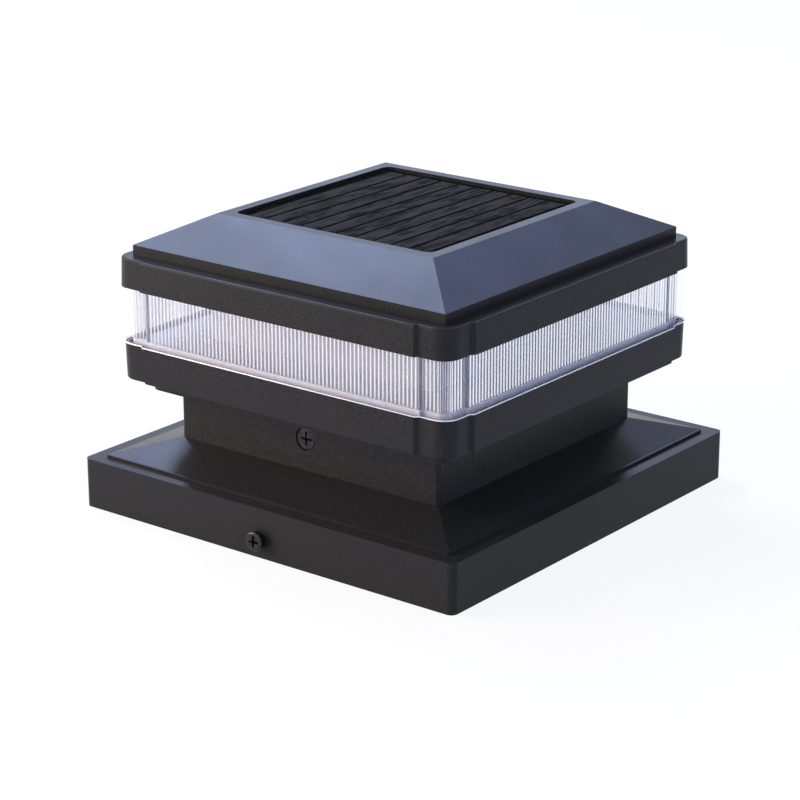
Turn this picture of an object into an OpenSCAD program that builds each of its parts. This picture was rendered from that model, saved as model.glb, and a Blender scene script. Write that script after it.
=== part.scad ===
// Deck post cap light: a solar lamp head on a neck, with a skirt adapter that drops over a square post.
// Origin at the middle of the skirt's bottom rim, +Z up. Sizes in millimetres.
// The faces with the screws look along -Y and +Y.

/* [Post skirt] */
// Outside width of the skirt
skirt_w = 160; // [156:1:175]
// Height of the skirt's upright wall
skirt_h = 17.5; // [15:0.5:30]
// Wall of the skirt
skirt_wall = 2.5; // [2:0.1:3]
// Radius of the skirt's upright corners
skirt_r = 2.5; // [1:0.5:5]
// Flat ledge between the wall and the step
ledge_w = 5.3; // [3:0.1:7]
// Height of the small step on the ledge
step_h = 0.9; // [0.5:0.1:2]
// Rise of the sloped deck from the step to the neck
deck_rise = 5.4; // [3:0.1:9]
// Thickness of the deck
deck_t = 2.5; // [2:0.1:3]
// Height of the collar that stands up inside the neck
upstand_h = 17; // [15:0.5:18]
// Wall of that collar
upstand_wall = 1.9; // [1.6:0.1:2.4]
// Thickness of the ribs under the deck
gusset_t = 1.8; // [1.2:0.1:3]
// Ribs under each side of the deck
gusset_n = 3; // [1:1:5]

/* [Neck] */
// Outside width of the square neck
neck_w = 111.6; // [109:0.1:114]
// Height of the neck that shows between the deck and the collar plate
neck_h = 18.1; // [17:0.1:30]
// Wall of the neck
neck_wall = 2.5; // [2:0.1:2.8]
// Radius of the neck's corners
neck_r = 1.5; // [0.5:0.1:2]
// Outside width of the collar plate under the lamp body
collar_w = 126.6; // [122:0.2:132]
// Height of the collar plate
collar_h = 4.5; // [3.8:0.1:6]
// Radius of the collar plate's corners
collar_r = 4; // [2:0.5:6]
// Thickness of the web that closes the top of the neck
web_t = 2.5; // [2:0.1:3]

/* [Lamp body] */
// Width of the lamp body over its side panels, where the lens meets the top cover
body_w = 144.6; // [142:0.2:152]
// How much narrower the body is at the lens's lower edge
lens_taper = 1; // [0:0.1:2]
// How much narrower again it is at the bottom
tray_taper = 0.4; // [0:0.1:1.5]
// How much narrower the top cover is at its ledge
cover_taper = 0.5; // [0:0.1:3]
// Height of the lower band
tray_band_h = 12.8; // [11:0.1:18]
// Height of the lens that shows
lens_h = 20; // [15:0.5:40]
// Height of the upper band
cover_band_h = 10.4; // [9:0.1:15]
// How far the side panels stand proud of the corners
panel_proud = 1.2; // [0.6:0.1:1.6]
// Flat stretch between a groove and the round corner
corner_flat = 5.6; // [1:0.1:12]
// Width of the groove that leads from a panel down to a corner
groove_w = 1.2; // [1:0.1:3]
// Radius of the body's corners
corner_r = 6; // [5:0.5:8]
// Wall of the lower housing and the top cover
body_wall = 2.6; // [2.4:0.1:3]
// Thickness of the lower housing's floor
floor_t = 2.5; // [2:0.1:3]
// Rounding of the bands' outer edges
edge_r = 0.6; // [0.4:0.1:1]

/* [Lens] */
// Wall of the lens at its lower edge
lens_wall = 2.6; // [2.4:0.1:3]
// Spacing of the light-spreading ribs
rib_pitch = 1.645; // [1.2:0.005:2.4]
// Depth of the ribs on the lens's inner face
rib_d = 0.55; // [0.3:0.05:0.8]
// Plain rim below the ribs
rib_rim = 2; // [1:0.1:4]
// Height of the lap that enters the housing and the cover
lap_h = 2; // [1.5:0.1:2.4]
// Thickness of the lap
lap_t = 1.1; // [0.9:0.05:1.2]
// Height of the silicone gaskets at both laps
gasket_h = 0.8; // [0.5:0.1:1]

/* [Roof] */
// Width of the roof's square eave
eave_w = 132.6; // [126:0.2:136]
// Height of the eave's upright face
eave_h = 3.6; // [3:0.1:6]
// Rise of the roof from the eave to the flat top
roof_rise = 10.1; // [9:0.1:16]
// Width of the flat top
top_w = 92; // [90:0.2:96]
// Thickness of the roof
roof_t = 2.2; // [1.8:0.1:2.6]

/* [Solar panel] */
// Width of the square recess that holds the panel
recess_w = 83.8; // [82:0.2:86]
// Radius of the recess's corners
recess_r = 3; // [1:0.5:4]
// Depth of the recess
recess_d = 3; // [2.6:0.1:3.2]
// Thickness of the tape under the panel
tape_t = 0.6; // [0.4:0.1:0.8]
// Width of the tape
tape_w = 4; // [2:0.5:8]
// Thickness of the panel's backing board
panel_board_t = 1.2; // [0.8:0.1:1.4]
// Thickness of the clear cover sheet
panel_film_t = 0.5; // [0.3:0.1:0.6]
// Number of cell strips
cell_n = 10; // [6:1:14]
// Border between the recess and the cells
cell_border = 3.25; // [1.5:0.05:8]
// Gap between neighbouring strips
cell_gap = 0.35; // [0.2:0.05:1]
// Thickness of a cell strip
cell_t = 0.25; // [0.15:0.05:0.4]

/* [Reflector] */
// Outside width of the square reflector core
core_w = 96; // [95:0.5:104]
// Wall of the reflector core
core_wall = 1.8; // [1.4:0.1:2.4]
// Height of the reflector core above its floor plate
core_h = 26; // [24:0.5:30]
// Thickness of the reflector's floor plate
plate_t = 1.5; // [1.2:0.1:2]

/* [Lights] */
// Length of a strip board with its row of lights
led_board_l = 84; // [70:1:88]
// Height of a strip board
led_board_h = 8; // [6:0.5:10]
// Thickness of a strip board
led_board_t = 1; // [0.8:0.1:1.6]
// Lights on each strip board
led_n = 5; // [3:1:8]
// Width of one light
led_w = 3.5; // [2:0.1:5]
// Height of one light
led_h = 2.8; // [2:0.1:4]
// Thickness of one light
led_t = 0.8; // [0.5:0.1:1]

/* [Battery] */
// Diameter of the cell
battery_d = 18.2; // [14:0.1:18.6]
// Length of the cell
battery_l = 65; // [48:0.5:66]
// Space along the cell for its two contacts
contact_room = 7.6; // [6:0.1:9]
// Wall of the battery well
well_wall = 1.6; // [1.2:0.1:1.8]
// Thickness of the battery door
door_t = 2.1; // [1.8:0.1:2.4]
// Turns of the contact spring
contact_turns = 5; // [3:1:6]

/* [Button] */
// Diameter of the power button
button_d = 10; // [8:0.1:12]
// Travel of the power button
button_travel = 1.5; // [0.8:0.1:1.8]
// How far the button stands below the housing's floor
button_proud = 1.6; // [1.6:0.1:2.4]
// Turns of the button's return spring
button_turns = 3; // [2:1:4]

/* [Control board] */
// Length of the control board
board_l = 68; // [66:1:70]
// Width of the control board
board_w = 36; // [34:0.5:37]
// Thickness of the control board
board_t = 1.6; // [1:0.1:2]
// Height of its four standing bosses
board_stand = 11.1; // [11:0.1:13]

/* [Screws] */
// Shank diameter of the two screws in the skirt
post_screw_d = 3.5; // [3:0.1:4]
// Head diameter of the two screws in the skirt
post_head_d = 6.8; // [6:0.1:8]
// Height of that domed head
post_head_h = 2; // [1.8:0.1:3]
// How far that head stands off the wall
post_head_gap = 1.2; // [0:0.1:3]
// Length of the skirt screws
post_screw_l = 16; // [12:1:25]
// Height of the skirt screws above the rim
post_screw_z = 6.6; // [6:0.1:9]
// Shank diameter of the two countersunk screws in the neck
neck_screw_d = 4.2; // [3.5:0.1:4.5]
// Head diameter of the neck screws
neck_head_d = 7.6; // [7:0.1:8.6]
// Length of the neck screws
neck_screw_l = 13; // [10:1:20]
// Height of the neck screws above the skirt's rim
neck_screw_z = 34.9; // [33:0.1:36]
// Shank diameter of the four tie screws
tie_d = 3; // [2.6:0.1:3.4]
// Length of the tie screws
tie_l = 30; // [25:1:34]

/* [Hidden] */

// Fits: play of a plain fit, of a sliding fit and of a screw in its hole, and the overrun of cuts
play = 0.2;
slide_play = 0.06;
screw_play = 0.05;
clear_hole_play = 0.2;
over = 1;
overlap = 0.01;

// Facets of round solids, of the arcs in outlines, of soft tubes and of coil turns
$fn = 64;
arc_steps = 8;
tube_sides = 6;
tube_steps = 12;
coil_steps = 8;
edge_steps = 3;

// Colours
black_plastic = "#2b2c2f";
clear_plastic = "#dfe4f2";
pale_plastic = "#c9c9d6";
silicone = "#8c8f96";
board_green = "#1f5a37";
cell_black = "#16181d";
steel = "#b9bcc2";
black_steel = "#26262a";
wire_red = "#a8201d";
wire_black = "#1b1b1d";

// Levels, from the skirt's rim up
step_z = skirt_h + step_h;
neck_z = step_z + deck_rise;
collar_z = neck_z + neck_h;
tray_z = collar_z + collar_h;
floor_z = tray_z + floor_t;
lens_z = tray_z + tray_band_h;
cover_z = lens_z + lens_h;
cover_ledge_z = cover_z + cover_band_h;
eave_z = cover_ledge_z + eave_h;
top_z = eave_z + roof_rise;
plate_z = lens_z - plate_t;
web_z = tray_z - web_t;
seat_z = top_z - recess_d;
panel_board_z = seat_z + tape_t;
cell_z = panel_board_z + panel_board_t;
film_z = cell_z + cell_t;
cell_pitch = (recess_w - 2 * cell_border) / cell_n;

// Half widths
skirt_half = skirt_w / 2;
step_half = skirt_half - ledge_w;
neck_half = neck_w / 2;
neck_in = neck_half - neck_wall;
upstand_half = neck_in - play;
upstand_in = upstand_half - upstand_wall;
collar_half = collar_w / 2;
body_half = body_w / 2;
lens_low_half = body_half - lens_taper / 2;
tray_low_half = lens_low_half - tray_taper / 2;
cover_top_half = body_half - cover_taper / 2;
panel_half = body_half - panel_proud - corner_r - corner_flat - groove_w;
tray_in = tray_low_half - body_wall;
cover_in = cover_top_half - body_wall;
lens_in = lens_low_half - lens_wall;
lap_half = lens_in + lap_t;
rebate_half = lap_half + play / 2;
core_half = core_w / 2;
core_in = core_half - core_wall;
plate_half = tray_in - panel_proud - play;
eave_half = eave_w / 2;
top_half = top_w / 2;
recess_half = recess_w / 2;

// Tie screws: places, tubes and heads
tie_boss_r = 4;
tie_wall_gap = 0.5;
tie_at = core_in - tie_wall_gap - tie_boss_r;
tie_r = tie_d / 2;
tie_head_r = 3;
tie_head_h = 1.8;
tie_boss_h = tray_z - collar_z;
tie_head_play = 0.3;
web_boss_r = 5.5;
tie_head_z = web_z;

// Battery well, along X on the -Y side
well_clear = 0.9;
well_w = battery_d + 2 * well_clear;
well_l = battery_l + contact_room;
well_y = -20;
battery_z = tray_z + well_clear + battery_d / 2;
well_top_z = battery_z + battery_d / 2 + well_clear;
well_end = well_l / 2;

// Contacts at the ends of the well: the spring on the -X side, the tab on the +X side
contact_t = 0.5;
contact_w = 14;
contact_h = 15;
tab_bulge = 0.9;
nub_r = 3;
nub_h = 0.9;
lug_w = 3;
lug_rise = 2.5;
lug_x = well_end - contact_t / 2;
lug_slot = contact_t + 2 * play;
lug_top_z = well_top_z + well_wall + lug_rise;
battery_x = well_end - contact_t - tab_bulge - battery_l / 2;
contact_wire = 0.6;
contact_r = 4;
contact_gap = 0.1;
contact_spring_l = contact_room - 2 * contact_t - tab_bulge - contact_wire / 2 - contact_gap;

// Battery door and its two screws
door_screw_r = 1.25;
door_head_r = 2.4;
door_head_h = 1.2;
door_screw_l = 8;
door_boss_r = 2.8;
door_boss_h = 9;
door_screw_x = well_end + well_wall + door_boss_r;
door_half_l = door_screw_x + door_boss_r + play;
door_rim = 2.8;
door_half_w = well_w / 2 + door_rim;
door_z = tray_z - door_t;
door_travel_clear = 0.3;
seal_w = 1.2;
seal_h = 1;

// Opening in the neck's web for the door and the button
web_open_x = door_half_l + door_travel_clear;
web_open_y = tie_at - web_boss_r - play;

// Button stack, from the bottom up
button_r = button_d / 2;
button_y = 21;
button_z = tray_z - button_proud;
flange_w = 1.7;
flange_t = 1.2;
pin_r = 2;
pin_h = 2.6;
flange_top_z = floor_z + flange_t;
pin_top_z = flange_top_z + pin_h;
groove_d = 0.9;
groove_h = 1.05;
seal_wire_r = 0.45;
seal_squeeze = 0.02;
groove_z = tray_z + groove_h / 2;
spring_wire = 0.5;
spring_r = 3.3;
stem_r = 1.5;
board_z = floor_z + board_stand;
switch_w = 8.5;
switch_h = 5.4;
switch_z = board_z - switch_h;
spring_l = switch_z - flange_top_z - spring_wire;
stem_play = 0.1;
switch_roof = 0.6;
stem_top_z = board_z - switch_roof - button_travel - play;

// Control board
board_boss_r = 3;
board_hole_inset = 4;
board_screw_r = 1.1;
board_head_r = 2.1;
board_head_h = 1.4;
board_screw_l = 8;
board_y = button_y;
board_top_z = board_z + board_t;

// Plugs on the board: size, and the places of the three pairs of leads
plug_l = 9;
plug_w = 5;
plug_h = 6;
plug_top_z = board_top_z + plug_h;
lead_r = 0.7;
lead_gap = 2.4;
panel_plug = [-22, 24];
battery_plug = [20, 12];
led_plug = [0, 31];
coil_can_r = 4.5;
coil_can_h = 5;
coil_can_at = [-8, 13];
cap_r = 3.2;
cap_h = 8;
cap_at = [15, 26];
chip_l = 5;
chip_w = 4;
chip_h = 1.5;
chip_at = [4, 20];

// Lights: boards high on the core, out of sight behind the upper band
led_edge = 0.7;
led_z = plate_z + core_h - led_edge - led_board_h / 2;
led_face = core_half + led_board_t;
jumper_r = 0.45;
jumper_rise = 1.4;
jumper_gap = 0.9;

// Small things on the skirt and the neck
screw_boss_r = 4.6;
screw_boss_h = 4;
inner_r = 0.5;
skirt_in_r = max(inner_r, skirt_r - skirt_wall);
gusset_drop = 1;
step_rim = 0.5;
countersink_d = 2.2;
head_sink = 0.4;
head_ring = 0.4;
cross_w = 0.95;
cross_l = 4.4;
cross_d = 1.5;
small_cross_share = 0.5;
tie_cross_share = 0.7;
screw_tip_h = 2.2;
pan_side_h = 1.5;
support_t = 1.6;
support_d = 3;
support_n = 3;
coring_wall = 2;
wire_hole_r = 3;
frame_wall = 2.2;
pilot_extra = 1.5;
pad_d = 0.8;

// Four-fold and two-fold repeats
module at_corners(d) { for (x = [-d, d], y = [-d, d]) translate([x, y, 0]) children(); }
module on_four_sides() { for (k = [0:3]) rotate(90 * k) children(); }
module on_two_sides() { for (k = [0:1]) rotate(180 * k) children(); }

// Square with exact round corners, about the origin
module rounded_square(half, r) {
    square([2 * half, 2 * (half - r)], center = true);
    square([2 * (half - r), 2 * half], center = true);
    at_corners(half - r) circle(r);
}

module slab(half, r, z0, z1) { translate([0, 0, z0]) linear_extrude(z1 - z0) rounded_square(half, r); }

module block(size, z0, z1) { translate([-size[0] / 2, -size[1] / 2, z0]) cube([size[0], size[1], z1 - z0]); }

module post(r, z0, z1) { translate([0, 0, z0]) cylinder(r = r, h = z1 - z0); }

// Pyramid frustum on a square base
module frustum(low_half, high_half, z0, z1) {
    translate([0, 0, z0]) linear_extrude(z1 - z0, scale = high_half / low_half)
        square(2 * low_half, center = true);
}

// Outline of the lamp body: four raised side panels, grooves, and round corners set back from them
function quarter_turn(p, k) =
    [p[0] * cos(90 * k) - p[1] * sin(90 * k), p[0] * sin(90 * k) + p[1] * cos(90 * k)];
function arc_point(centre, r, a) = [centre + r * cos(a), centre + r * sin(a)];
function band_side(half, r) = let (c = half - panel_proud, g = panel_half + groove_w)
    concat([[c, -g], [half, -panel_half], [half, panel_half], [c, g]],
        [for (i = [0:arc_steps]) arc_point(c - r, r, 90 * i / arc_steps)]);
function all_sides(side) = [for (k = [0:3], p = side) quarter_turn(p, k)];

module band_outline(inset) { polygon(all_sides(band_side(body_half - inset, corner_r - inset))); }

module band(inset, z0, z1) { translate([0, 0, z0]) linear_extrude(z1 - z0) band_outline(inset); }

// The same outline with draft: half widths low and high, over the levels z0 to z1
module drafted_band(low, high, z0, z1) {
    translate([0, 0, z0]) linear_extrude(z1 - z0, scale = high / low) scale(low / body_half) band_outline(0);
}

// A drafted band whose end at z1 is rounded by edge_r
module rounded_band(low, high, z0, z1) {
    way = sign(z1 - z0);
    rise = edge_r * way;
    drafted_between(low, high, z0, z1 - rise);
    for (i = [0:edge_steps - 1]) {
        a = 90 * i / edge_steps;
        b = 90 * (i + 1) / edge_steps;
        drafted_between(high - edge_r * (1 - cos(a)), high - edge_r * (1 - cos(b)),
            z1 - rise * (1 - sin(a)) - overlap * way, z1 - rise * (1 - sin(b)));
    }
}
module drafted_between(half_a, half_b, z_a, z_b) {
    if (z_b > z_a) drafted_band(half_a, half_b, z_a, z_b);
    else drafted_band(half_b, half_a, z_b, z_a);
}

// Inner outline of the lens: rows of V ribs along the panels, the corner flats and the corner arcs
function ribs_in(length) = max(1, floor(length / rib_pitch));
function ribbed_side(half, r) = let (c = half - panel_proud, g = panel_half + groove_w,
        n = ribs_in(2 * panel_half), m = ribs_in(c - r - g), k = ribs_in(PI * r / 2))
    concat([[c, -g]],
        [for (i = [0:2 * n]) [half - rib_d * (i % 2), -panel_half + i * panel_half / n]],
        [for (i = [0:2 * m]) [c - rib_d * (i % 2), g + i * (c - r - g) / (2 * m)]],
        [for (i = [1:2 * k]) arc_point(c - r, r - rib_d * (i % 2), 90 * i / (2 * k))],
        [for (i = [1:2 * m - 1]) [c - r - i * (c - r - g) / (2 * m), c - rib_d * (i % 2)]]);
module ribbed_outline() { polygon(all_sides(ribbed_side(lens_in, corner_r - lens_wall))); }

// Tube along a flat cubic curve, as a closed mesh of rings
function unit(v) = v / norm(v);
function curve_at(p, t) = p[0] * pow(1 - t, 3) + 3 * p[1] * t * pow(1 - t, 2) + 3 * p[2] * t * t * (1 - t)
    + p[3] * pow(t, 3);
function slope_at(p, t) = (p[1] - p[0]) * pow(1 - t, 2) + 2 * (p[2] - p[1]) * t * (1 - t)
    + (p[3] - p[2]) * t * t;
function ring_at(centre, u, v, r) = [for (i = [0:tube_sides - 1]) let (a = 360 * i / tube_sides)
    centre + r * (u * cos(a) + v * sin(a))];
function tube_faces(rings) = concat(
    [[for (i = [0:tube_sides - 1]) tube_sides - 1 - i]],
    [for (j = [0:rings - 2], i = [0:tube_sides - 1]) let (a = j * tube_sides + i, n = (i + 1) % tube_sides,
        b = j * tube_sides + n) each [[a, b, b + tube_sides], [a, b + tube_sides, a + tube_sides]]],
    [[for (i = [0:tube_sides - 1]) (rings - 1) * tube_sides + i]]);
module curved_tube(p, r) {
    flat = unit(cross(p[1] - p[0], p[3] - p[0]));
    points = [for (j = [0:tube_steps]) let (t = j / tube_steps)
        each ring_at(curve_at(p, t), flat, cross(flat, unit(slope_at(p, t))), r)];
    polyhedron(points, tube_faces(tube_steps + 1));
}

// Coil along +Z: wire of diameter d on radius r, with a number of turns over length l
function coil_point(r, l, turns, a) = [r * cos(a), r * sin(a), l * a / (360 * turns)];
function coil_points(r, l, turns) =
    [for (j = [0:coil_steps * turns]) coil_point(r, l, turns, 360 * j / coil_steps)];
module coil(r, l, turns, d) {
    steps = coil_steps * turns;
    points = [for (j = [0:steps]) let (a = 360 * j / coil_steps, out = [cos(a), sin(a), 0],
            along = unit([-r * sin(a), r * cos(a), l / (turns * 2 * PI)]))
        each ring_at(coil_point(r, l, turns, a), out, cross(out, along), d / 2)];
    polyhedron(points, tube_faces(steps + 1));
}
// Least gap of a coil to itself, measured between points a turn or more apart
function coil_gap(path, d) = min([for (i = [0:len(path) - 1 - coil_steps], j = [i + coil_steps:len(path) - 1])
    norm(path[i] - path[j])]) - d;

// Crossed slots of a screw head, cut down from z = 0
module cross_cut() {
    for (a = [0, 90]) rotate(a) translate([-cross_l / 2, -cross_w / 2, -cross_d])
        cube([cross_l, cross_w, cross_d + over]);
}

// Screw with a pointed tip, head up: the shank hangs from z = 0
module shank(r, l) {
    translate([0, 0, -l + screw_tip_h]) cylinder(r = r, h = l - screw_tip_h);
    translate([0, 0, -l]) cylinder(r1 = r / 4, r2 = r, h = screw_tip_h);
}

// Places a screw drawn along +Z into the side that looks along -Y
module into_front(y, z) { translate([0, -y, z]) rotate([90, 0, 0]) children(); }

module post_skirt() {
    deck_under = skirt_h - deck_t;
    in_half = skirt_half - skirt_wall;
    slope_low = step_half - skirt_wall;
    under_neck = neck_z - deck_t;
    deck_h = under_neck - deck_under + gusset_drop;
    color(black_plastic) difference() {
        union() {
            difference() {
                union() {
                    slab(skirt_half, skirt_r, 0, skirt_h);
                    slab(step_half, skirt_r / 2, skirt_h - over, step_z);
                    frustum(step_half - step_rim, neck_half, step_z - overlap, neck_z);
                }
                slab(in_half, skirt_in_r, -over, deck_under);
                frustum(slope_low, upstand_half, deck_under - overlap, under_neck);
            }
            // Ribs under the deck, their lower edges level with the stop for a wide post
            intersection() {
                on_four_sides() for (i = [1:gusset_n]) {
                    y = -in_half + 2 * in_half * i / (gusset_n + 1);
                    translate([upstand_half - over, y - gusset_t / 2, deck_under - gusset_drop])
                        cube([skirt_half, gusset_t, deck_h]);
                }
                union() {
                    slab(in_half, skirt_in_r, deck_under - gusset_drop, deck_under);
                    frustum(slope_low, upstand_half, deck_under - overlap, under_neck);
                }
            }
            slab(upstand_half, neck_r / 2, deck_under, neck_z + upstand_h);
            on_two_sides() into_front(skirt_half - skirt_wall / 2, post_screw_z)
                mirror([0, 0, 1]) post(screw_boss_r, 0, skirt_wall / 2 + screw_boss_h);
        }
        slab(upstand_in, neck_r / 2, -over, neck_z + upstand_h + over);
        on_two_sides() into_front(skirt_half + over, post_screw_z)
            mirror([0, 0, 1]) post(post_screw_d / 2 + screw_play, 0, skirt_wall + screw_boss_h + 2 * over);
        on_two_sides() into_front(neck_half, neck_screw_z)
            mirror([0, 0, 1]) post(neck_screw_d / 2 + screw_play, 0, neck_screw_l);
    }
}

module neck_sleeve() {
    color(black_plastic) difference() {
        union() {
            difference() {
                union() {
                    slab(neck_half, neck_r, neck_z, web_z);
                    slab(collar_half, collar_r, collar_z, tray_z);
                }
                slab(neck_in, neck_r / 2, neck_z - over, web_z);
                // Coring of the collar plate, open towards the housing
                difference() {
                    slab(collar_half - coring_wall, collar_r - coring_wall, web_z, tray_z + over);
                    slab(neck_half + coring_wall / 2, neck_r, web_z - over, tray_z + 2 * over);
                }
            }
            at_corners(tie_at) post(web_boss_r, tray_z - tie_boss_h, tray_z);
        }
        block([2 * web_open_x, 2 * web_open_y], web_z - over, tray_z + over);
        at_corners(tie_at) {
            post(tie_r + clear_hole_play, collar_z, tray_z + over);
            post(tie_head_r + tie_head_play, collar_z - 2 * over, tie_head_z);
        }
        on_two_sides() into_front(neck_half, neck_screw_z) mirror([0, 0, 1]) {
            post(neck_screw_d / 2 + clear_hole_play, -over, neck_wall + over);
            post(neck_head_d / 2 + head_ring, -over, head_sink);
            translate([0, 0, head_sink])
                cylinder(r1 = neck_head_d / 2 + head_ring, r2 = neck_screw_d / 2 + clear_hole_play,
                    h = countersink_d - head_sink);
        }
    }
}

module lower_housing() {
    color(black_plastic) difference() {
        union() {
            difference() {
                rounded_band(lens_low_half, tray_low_half, lens_z, tray_z);
                band(body_half - tray_in, floor_z, lens_z + over);
                band(body_half - rebate_half, lens_z - lap_h - gasket_h, lens_z + over);
            }
            // Standing ribs that carry the reflector plate
            on_four_sides() for (i = [1:support_n]) {
                y = -tray_in + 2 * tray_in * i / (support_n + 1);
                translate([tray_in - support_d, y - support_t / 2, floor_z - over])
                    cube([support_d + play / 2, support_t, plate_z - floor_z + over]);
            }
            at_corners(tie_at) post(tie_boss_r, floor_z - over, plate_z);
            translate([0, well_y, 0]) {
                block([well_l + 2 * well_wall, well_w + 2 * well_wall], floor_z - over,
                    well_top_z + well_wall);
                for (x = [-door_screw_x, door_screw_x]) translate([x, 0, 0])
                    post(door_boss_r, floor_z - over, tray_z + door_boss_h);
            }
            translate([0, board_y, 0]) for (x = [-1, 1], y = [-1, 1])
                translate([x * (board_l / 2 - board_hole_inset), y * (board_w / 2 - board_hole_inset), 0])
                    post(board_boss_r, floor_z - over, board_z);
        }
        at_corners(tie_at) post(tie_r + clear_hole_play, tray_z - over, plate_z + over);
        translate([0, well_y, 0]) {
            block([well_l, well_w], tray_z - over, well_top_z);
            for (x = [-door_screw_x, door_screw_x]) translate([x, 0, 0])
                post(door_screw_r + screw_play, tray_z - over, tray_z + door_boss_h - over);
            // Slots in the well's roof for the contact lugs
            for (x = [-lug_x, lug_x]) translate([x, 0, 0])
                block([lug_slot, lug_w + 2 * play], well_top_z - over, well_top_z + well_wall + over);
        }
        translate([0, button_y, 0]) post(button_r + slide_play, tray_z - over, floor_z + over);
        translate([0, board_y, 0]) for (x = [-1, 1], y = [-1, 1])
            translate([x * (board_l / 2 - board_hole_inset), y * (board_w / 2 - board_hole_inset), 0])
                post(board_screw_r + screw_play, board_z - board_screw_l, board_z + over);
    }
}

module lens_ring() {
    color(clear_plastic, 0.5) difference() {
        union() {
            drafted_band(lens_low_half, body_half, lens_z, cover_z);
            band(body_half - lap_half, lens_z - lap_h, cover_z + lap_h);
        }
        band(body_half - lens_in, lens_z - lap_h - over, lens_z + rib_rim);
        translate([0, 0, lens_z + rib_rim - over / 2]) linear_extrude(lens_h + lap_h) ribbed_outline();
    }
}

// Frame gaskets in the two laps
module lap_gasket(z) {
    color(silicone) difference() {
        band(body_half - rebate_half, z, z + gasket_h);
        band(body_half - lens_in, z - over, z + gasket_h + over);
    }
}
module lower_gasket() { lap_gasket(lens_z - lap_h - gasket_h); }
module upper_gasket() { lap_gasket(cover_z + lap_h); }

module top_cover() {
    drop = roof_t * norm([roof_rise, eave_half - top_half]) / (eave_half - top_half);
    run_share = (eave_half - top_half) / roof_rise;
    inner_half = eave_half - roof_t;
    knee_z = eave_z - drop + roof_t / run_share;
    color(black_plastic) difference() {
        union() {
            difference() {
                union() {
                    rounded_band(body_half, cover_top_half, cover_z, cover_ledge_z);
                    block([eave_w, eave_w], cover_ledge_z - over, eave_z);
                    frustum(eave_half, top_half, eave_z, top_z);
                }
                band(body_half - cover_in, cover_z - over, cover_ledge_z - roof_t);
                band(body_half - rebate_half, cover_z - over, cover_z + lap_h + gasket_h);
                block([2 * inner_half, 2 * inner_half], cover_z, knee_z);
                frustum(inner_half, top_half, knee_z - overlap, top_z - drop);
            }
            // Seat under the solar panel, and the bosses for the tie screws
            block([recess_w + 2 * frame_wall, recess_w + 2 * frame_wall], seat_z - roof_t, top_z);
            at_corners(tie_at) post(tie_boss_r, lens_z, top_z - roof_t / 2);
        }
        slab(recess_half, recess_r, seat_z, top_z + over);
        post(wire_hole_r, seat_z - 2 * roof_t, top_z);
        at_corners(tie_at) post(tie_r + screw_play, lens_z - over, tie_head_z + tie_l + pilot_extra);
    }
}

// Solar panel: tape, board, cell strips and clear sheet, in that order from the seat up
module panel_tape() {
    color(wire_black) difference() {
        slab(recess_half - play, recess_r, seat_z, seat_z + tape_t);
        slab(recess_half - play - tape_w, recess_r, seat_z - over, seat_z + tape_t + over);
    }
}
module panel_board() { color(cell_black) slab(recess_half - play, recess_r - play, panel_board_z, cell_z); }
module solar_cells() {
    color(cell_black) for (i = [0:cell_n - 1])
        translate([(i - (cell_n - 1) / 2) * cell_pitch, 0, 0])
            block([cell_pitch - cell_gap, cell_n * cell_pitch], cell_z, film_z);
}
module panel_film() {
    color(clear_plastic, 0.3) slab(recess_half - play, recess_r - play, film_z, film_z + panel_film_t);
}

module reflector_core() {
    lug_half = core_in - tie_at + tie_boss_r;
    color(pale_plastic) difference() {
        union() {
            difference() {
                union() {
                    slab(plate_half, corner_r, plate_z, lens_z);
                    block([core_w, core_w], plate_z, plate_z + core_h);
                }
                block([2 * core_in, 2 * core_in], plate_z - over, plate_z + core_h + over);
            }
            // Corner lugs, clamped between the housing's tubes and the cover's bosses
            at_corners(core_in - lug_half / 2) block([lug_half, lug_half], plate_z, lens_z);
        }
        at_corners(tie_at) post(tie_r + clear_hole_play, plate_z - over, lens_z + over);
        for (x = [-lead_gap / 2, lead_gap / 2]) translate([x, core_half + over, led_z])
            rotate([90, 0, 0]) cylinder(r = lead_r + clear_hole_play, h = core_wall + 2 * over);
    }
}

module led_boards() {
    color("white") on_four_sides() translate([core_half, -led_board_l / 2, led_z - led_board_h / 2])
        cube([led_board_t, led_board_l, led_board_h]);
}
module led_chips() {
    pitch = led_board_l / led_n;
    color("#e8d27a") on_four_sides() for (i = [0:led_n - 1])
        translate([led_face, (i - (led_n - 1) / 2) * pitch - led_w / 2, led_z - led_h / 2])
            cube([led_t, led_w, led_h]);
}

// Control board with its parts and screws
module board_corners() {
    translate([0, board_y, 0]) for (x = [-1, 1], y = [-1, 1])
        translate([x * (board_l / 2 - board_hole_inset), y * (board_w / 2 - board_hole_inset), 0]) children();
}
module control_board() {
    color(board_green) difference() {
        translate([0, board_y, 0]) block([board_l, board_w], board_z, board_top_z);
        board_corners() post(board_screw_r + clear_hole_play, board_z - over, board_top_z + over);
    }
}
module board_parts() {
    color(cell_black) {
        for (p = [panel_plug, battery_plug, led_plug]) translate([p[0], p[1], 0])
            block([plug_l, plug_w], board_top_z, plug_top_z);
        translate([coil_can_at[0], coil_can_at[1], 0])
            post(coil_can_r, board_top_z, board_top_z + coil_can_h);
        translate([cap_at[0], cap_at[1], 0]) post(cap_r, board_top_z, board_top_z + cap_h);
        translate([chip_at[0], chip_at[1], 0]) block([chip_l, chip_w], board_top_z, board_top_z + chip_h);
    }
}
module board_screws() {
    color(steel) board_corners() difference() {
        union() {
            translate([0, 0, board_top_z]) shank(board_screw_r, board_screw_l);
            post(board_head_r, board_top_z, board_top_z + board_head_h);
        }
        translate([0, 0, board_top_z + board_head_h]) scale(small_cross_share) cross_cut();
    }
}

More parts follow.
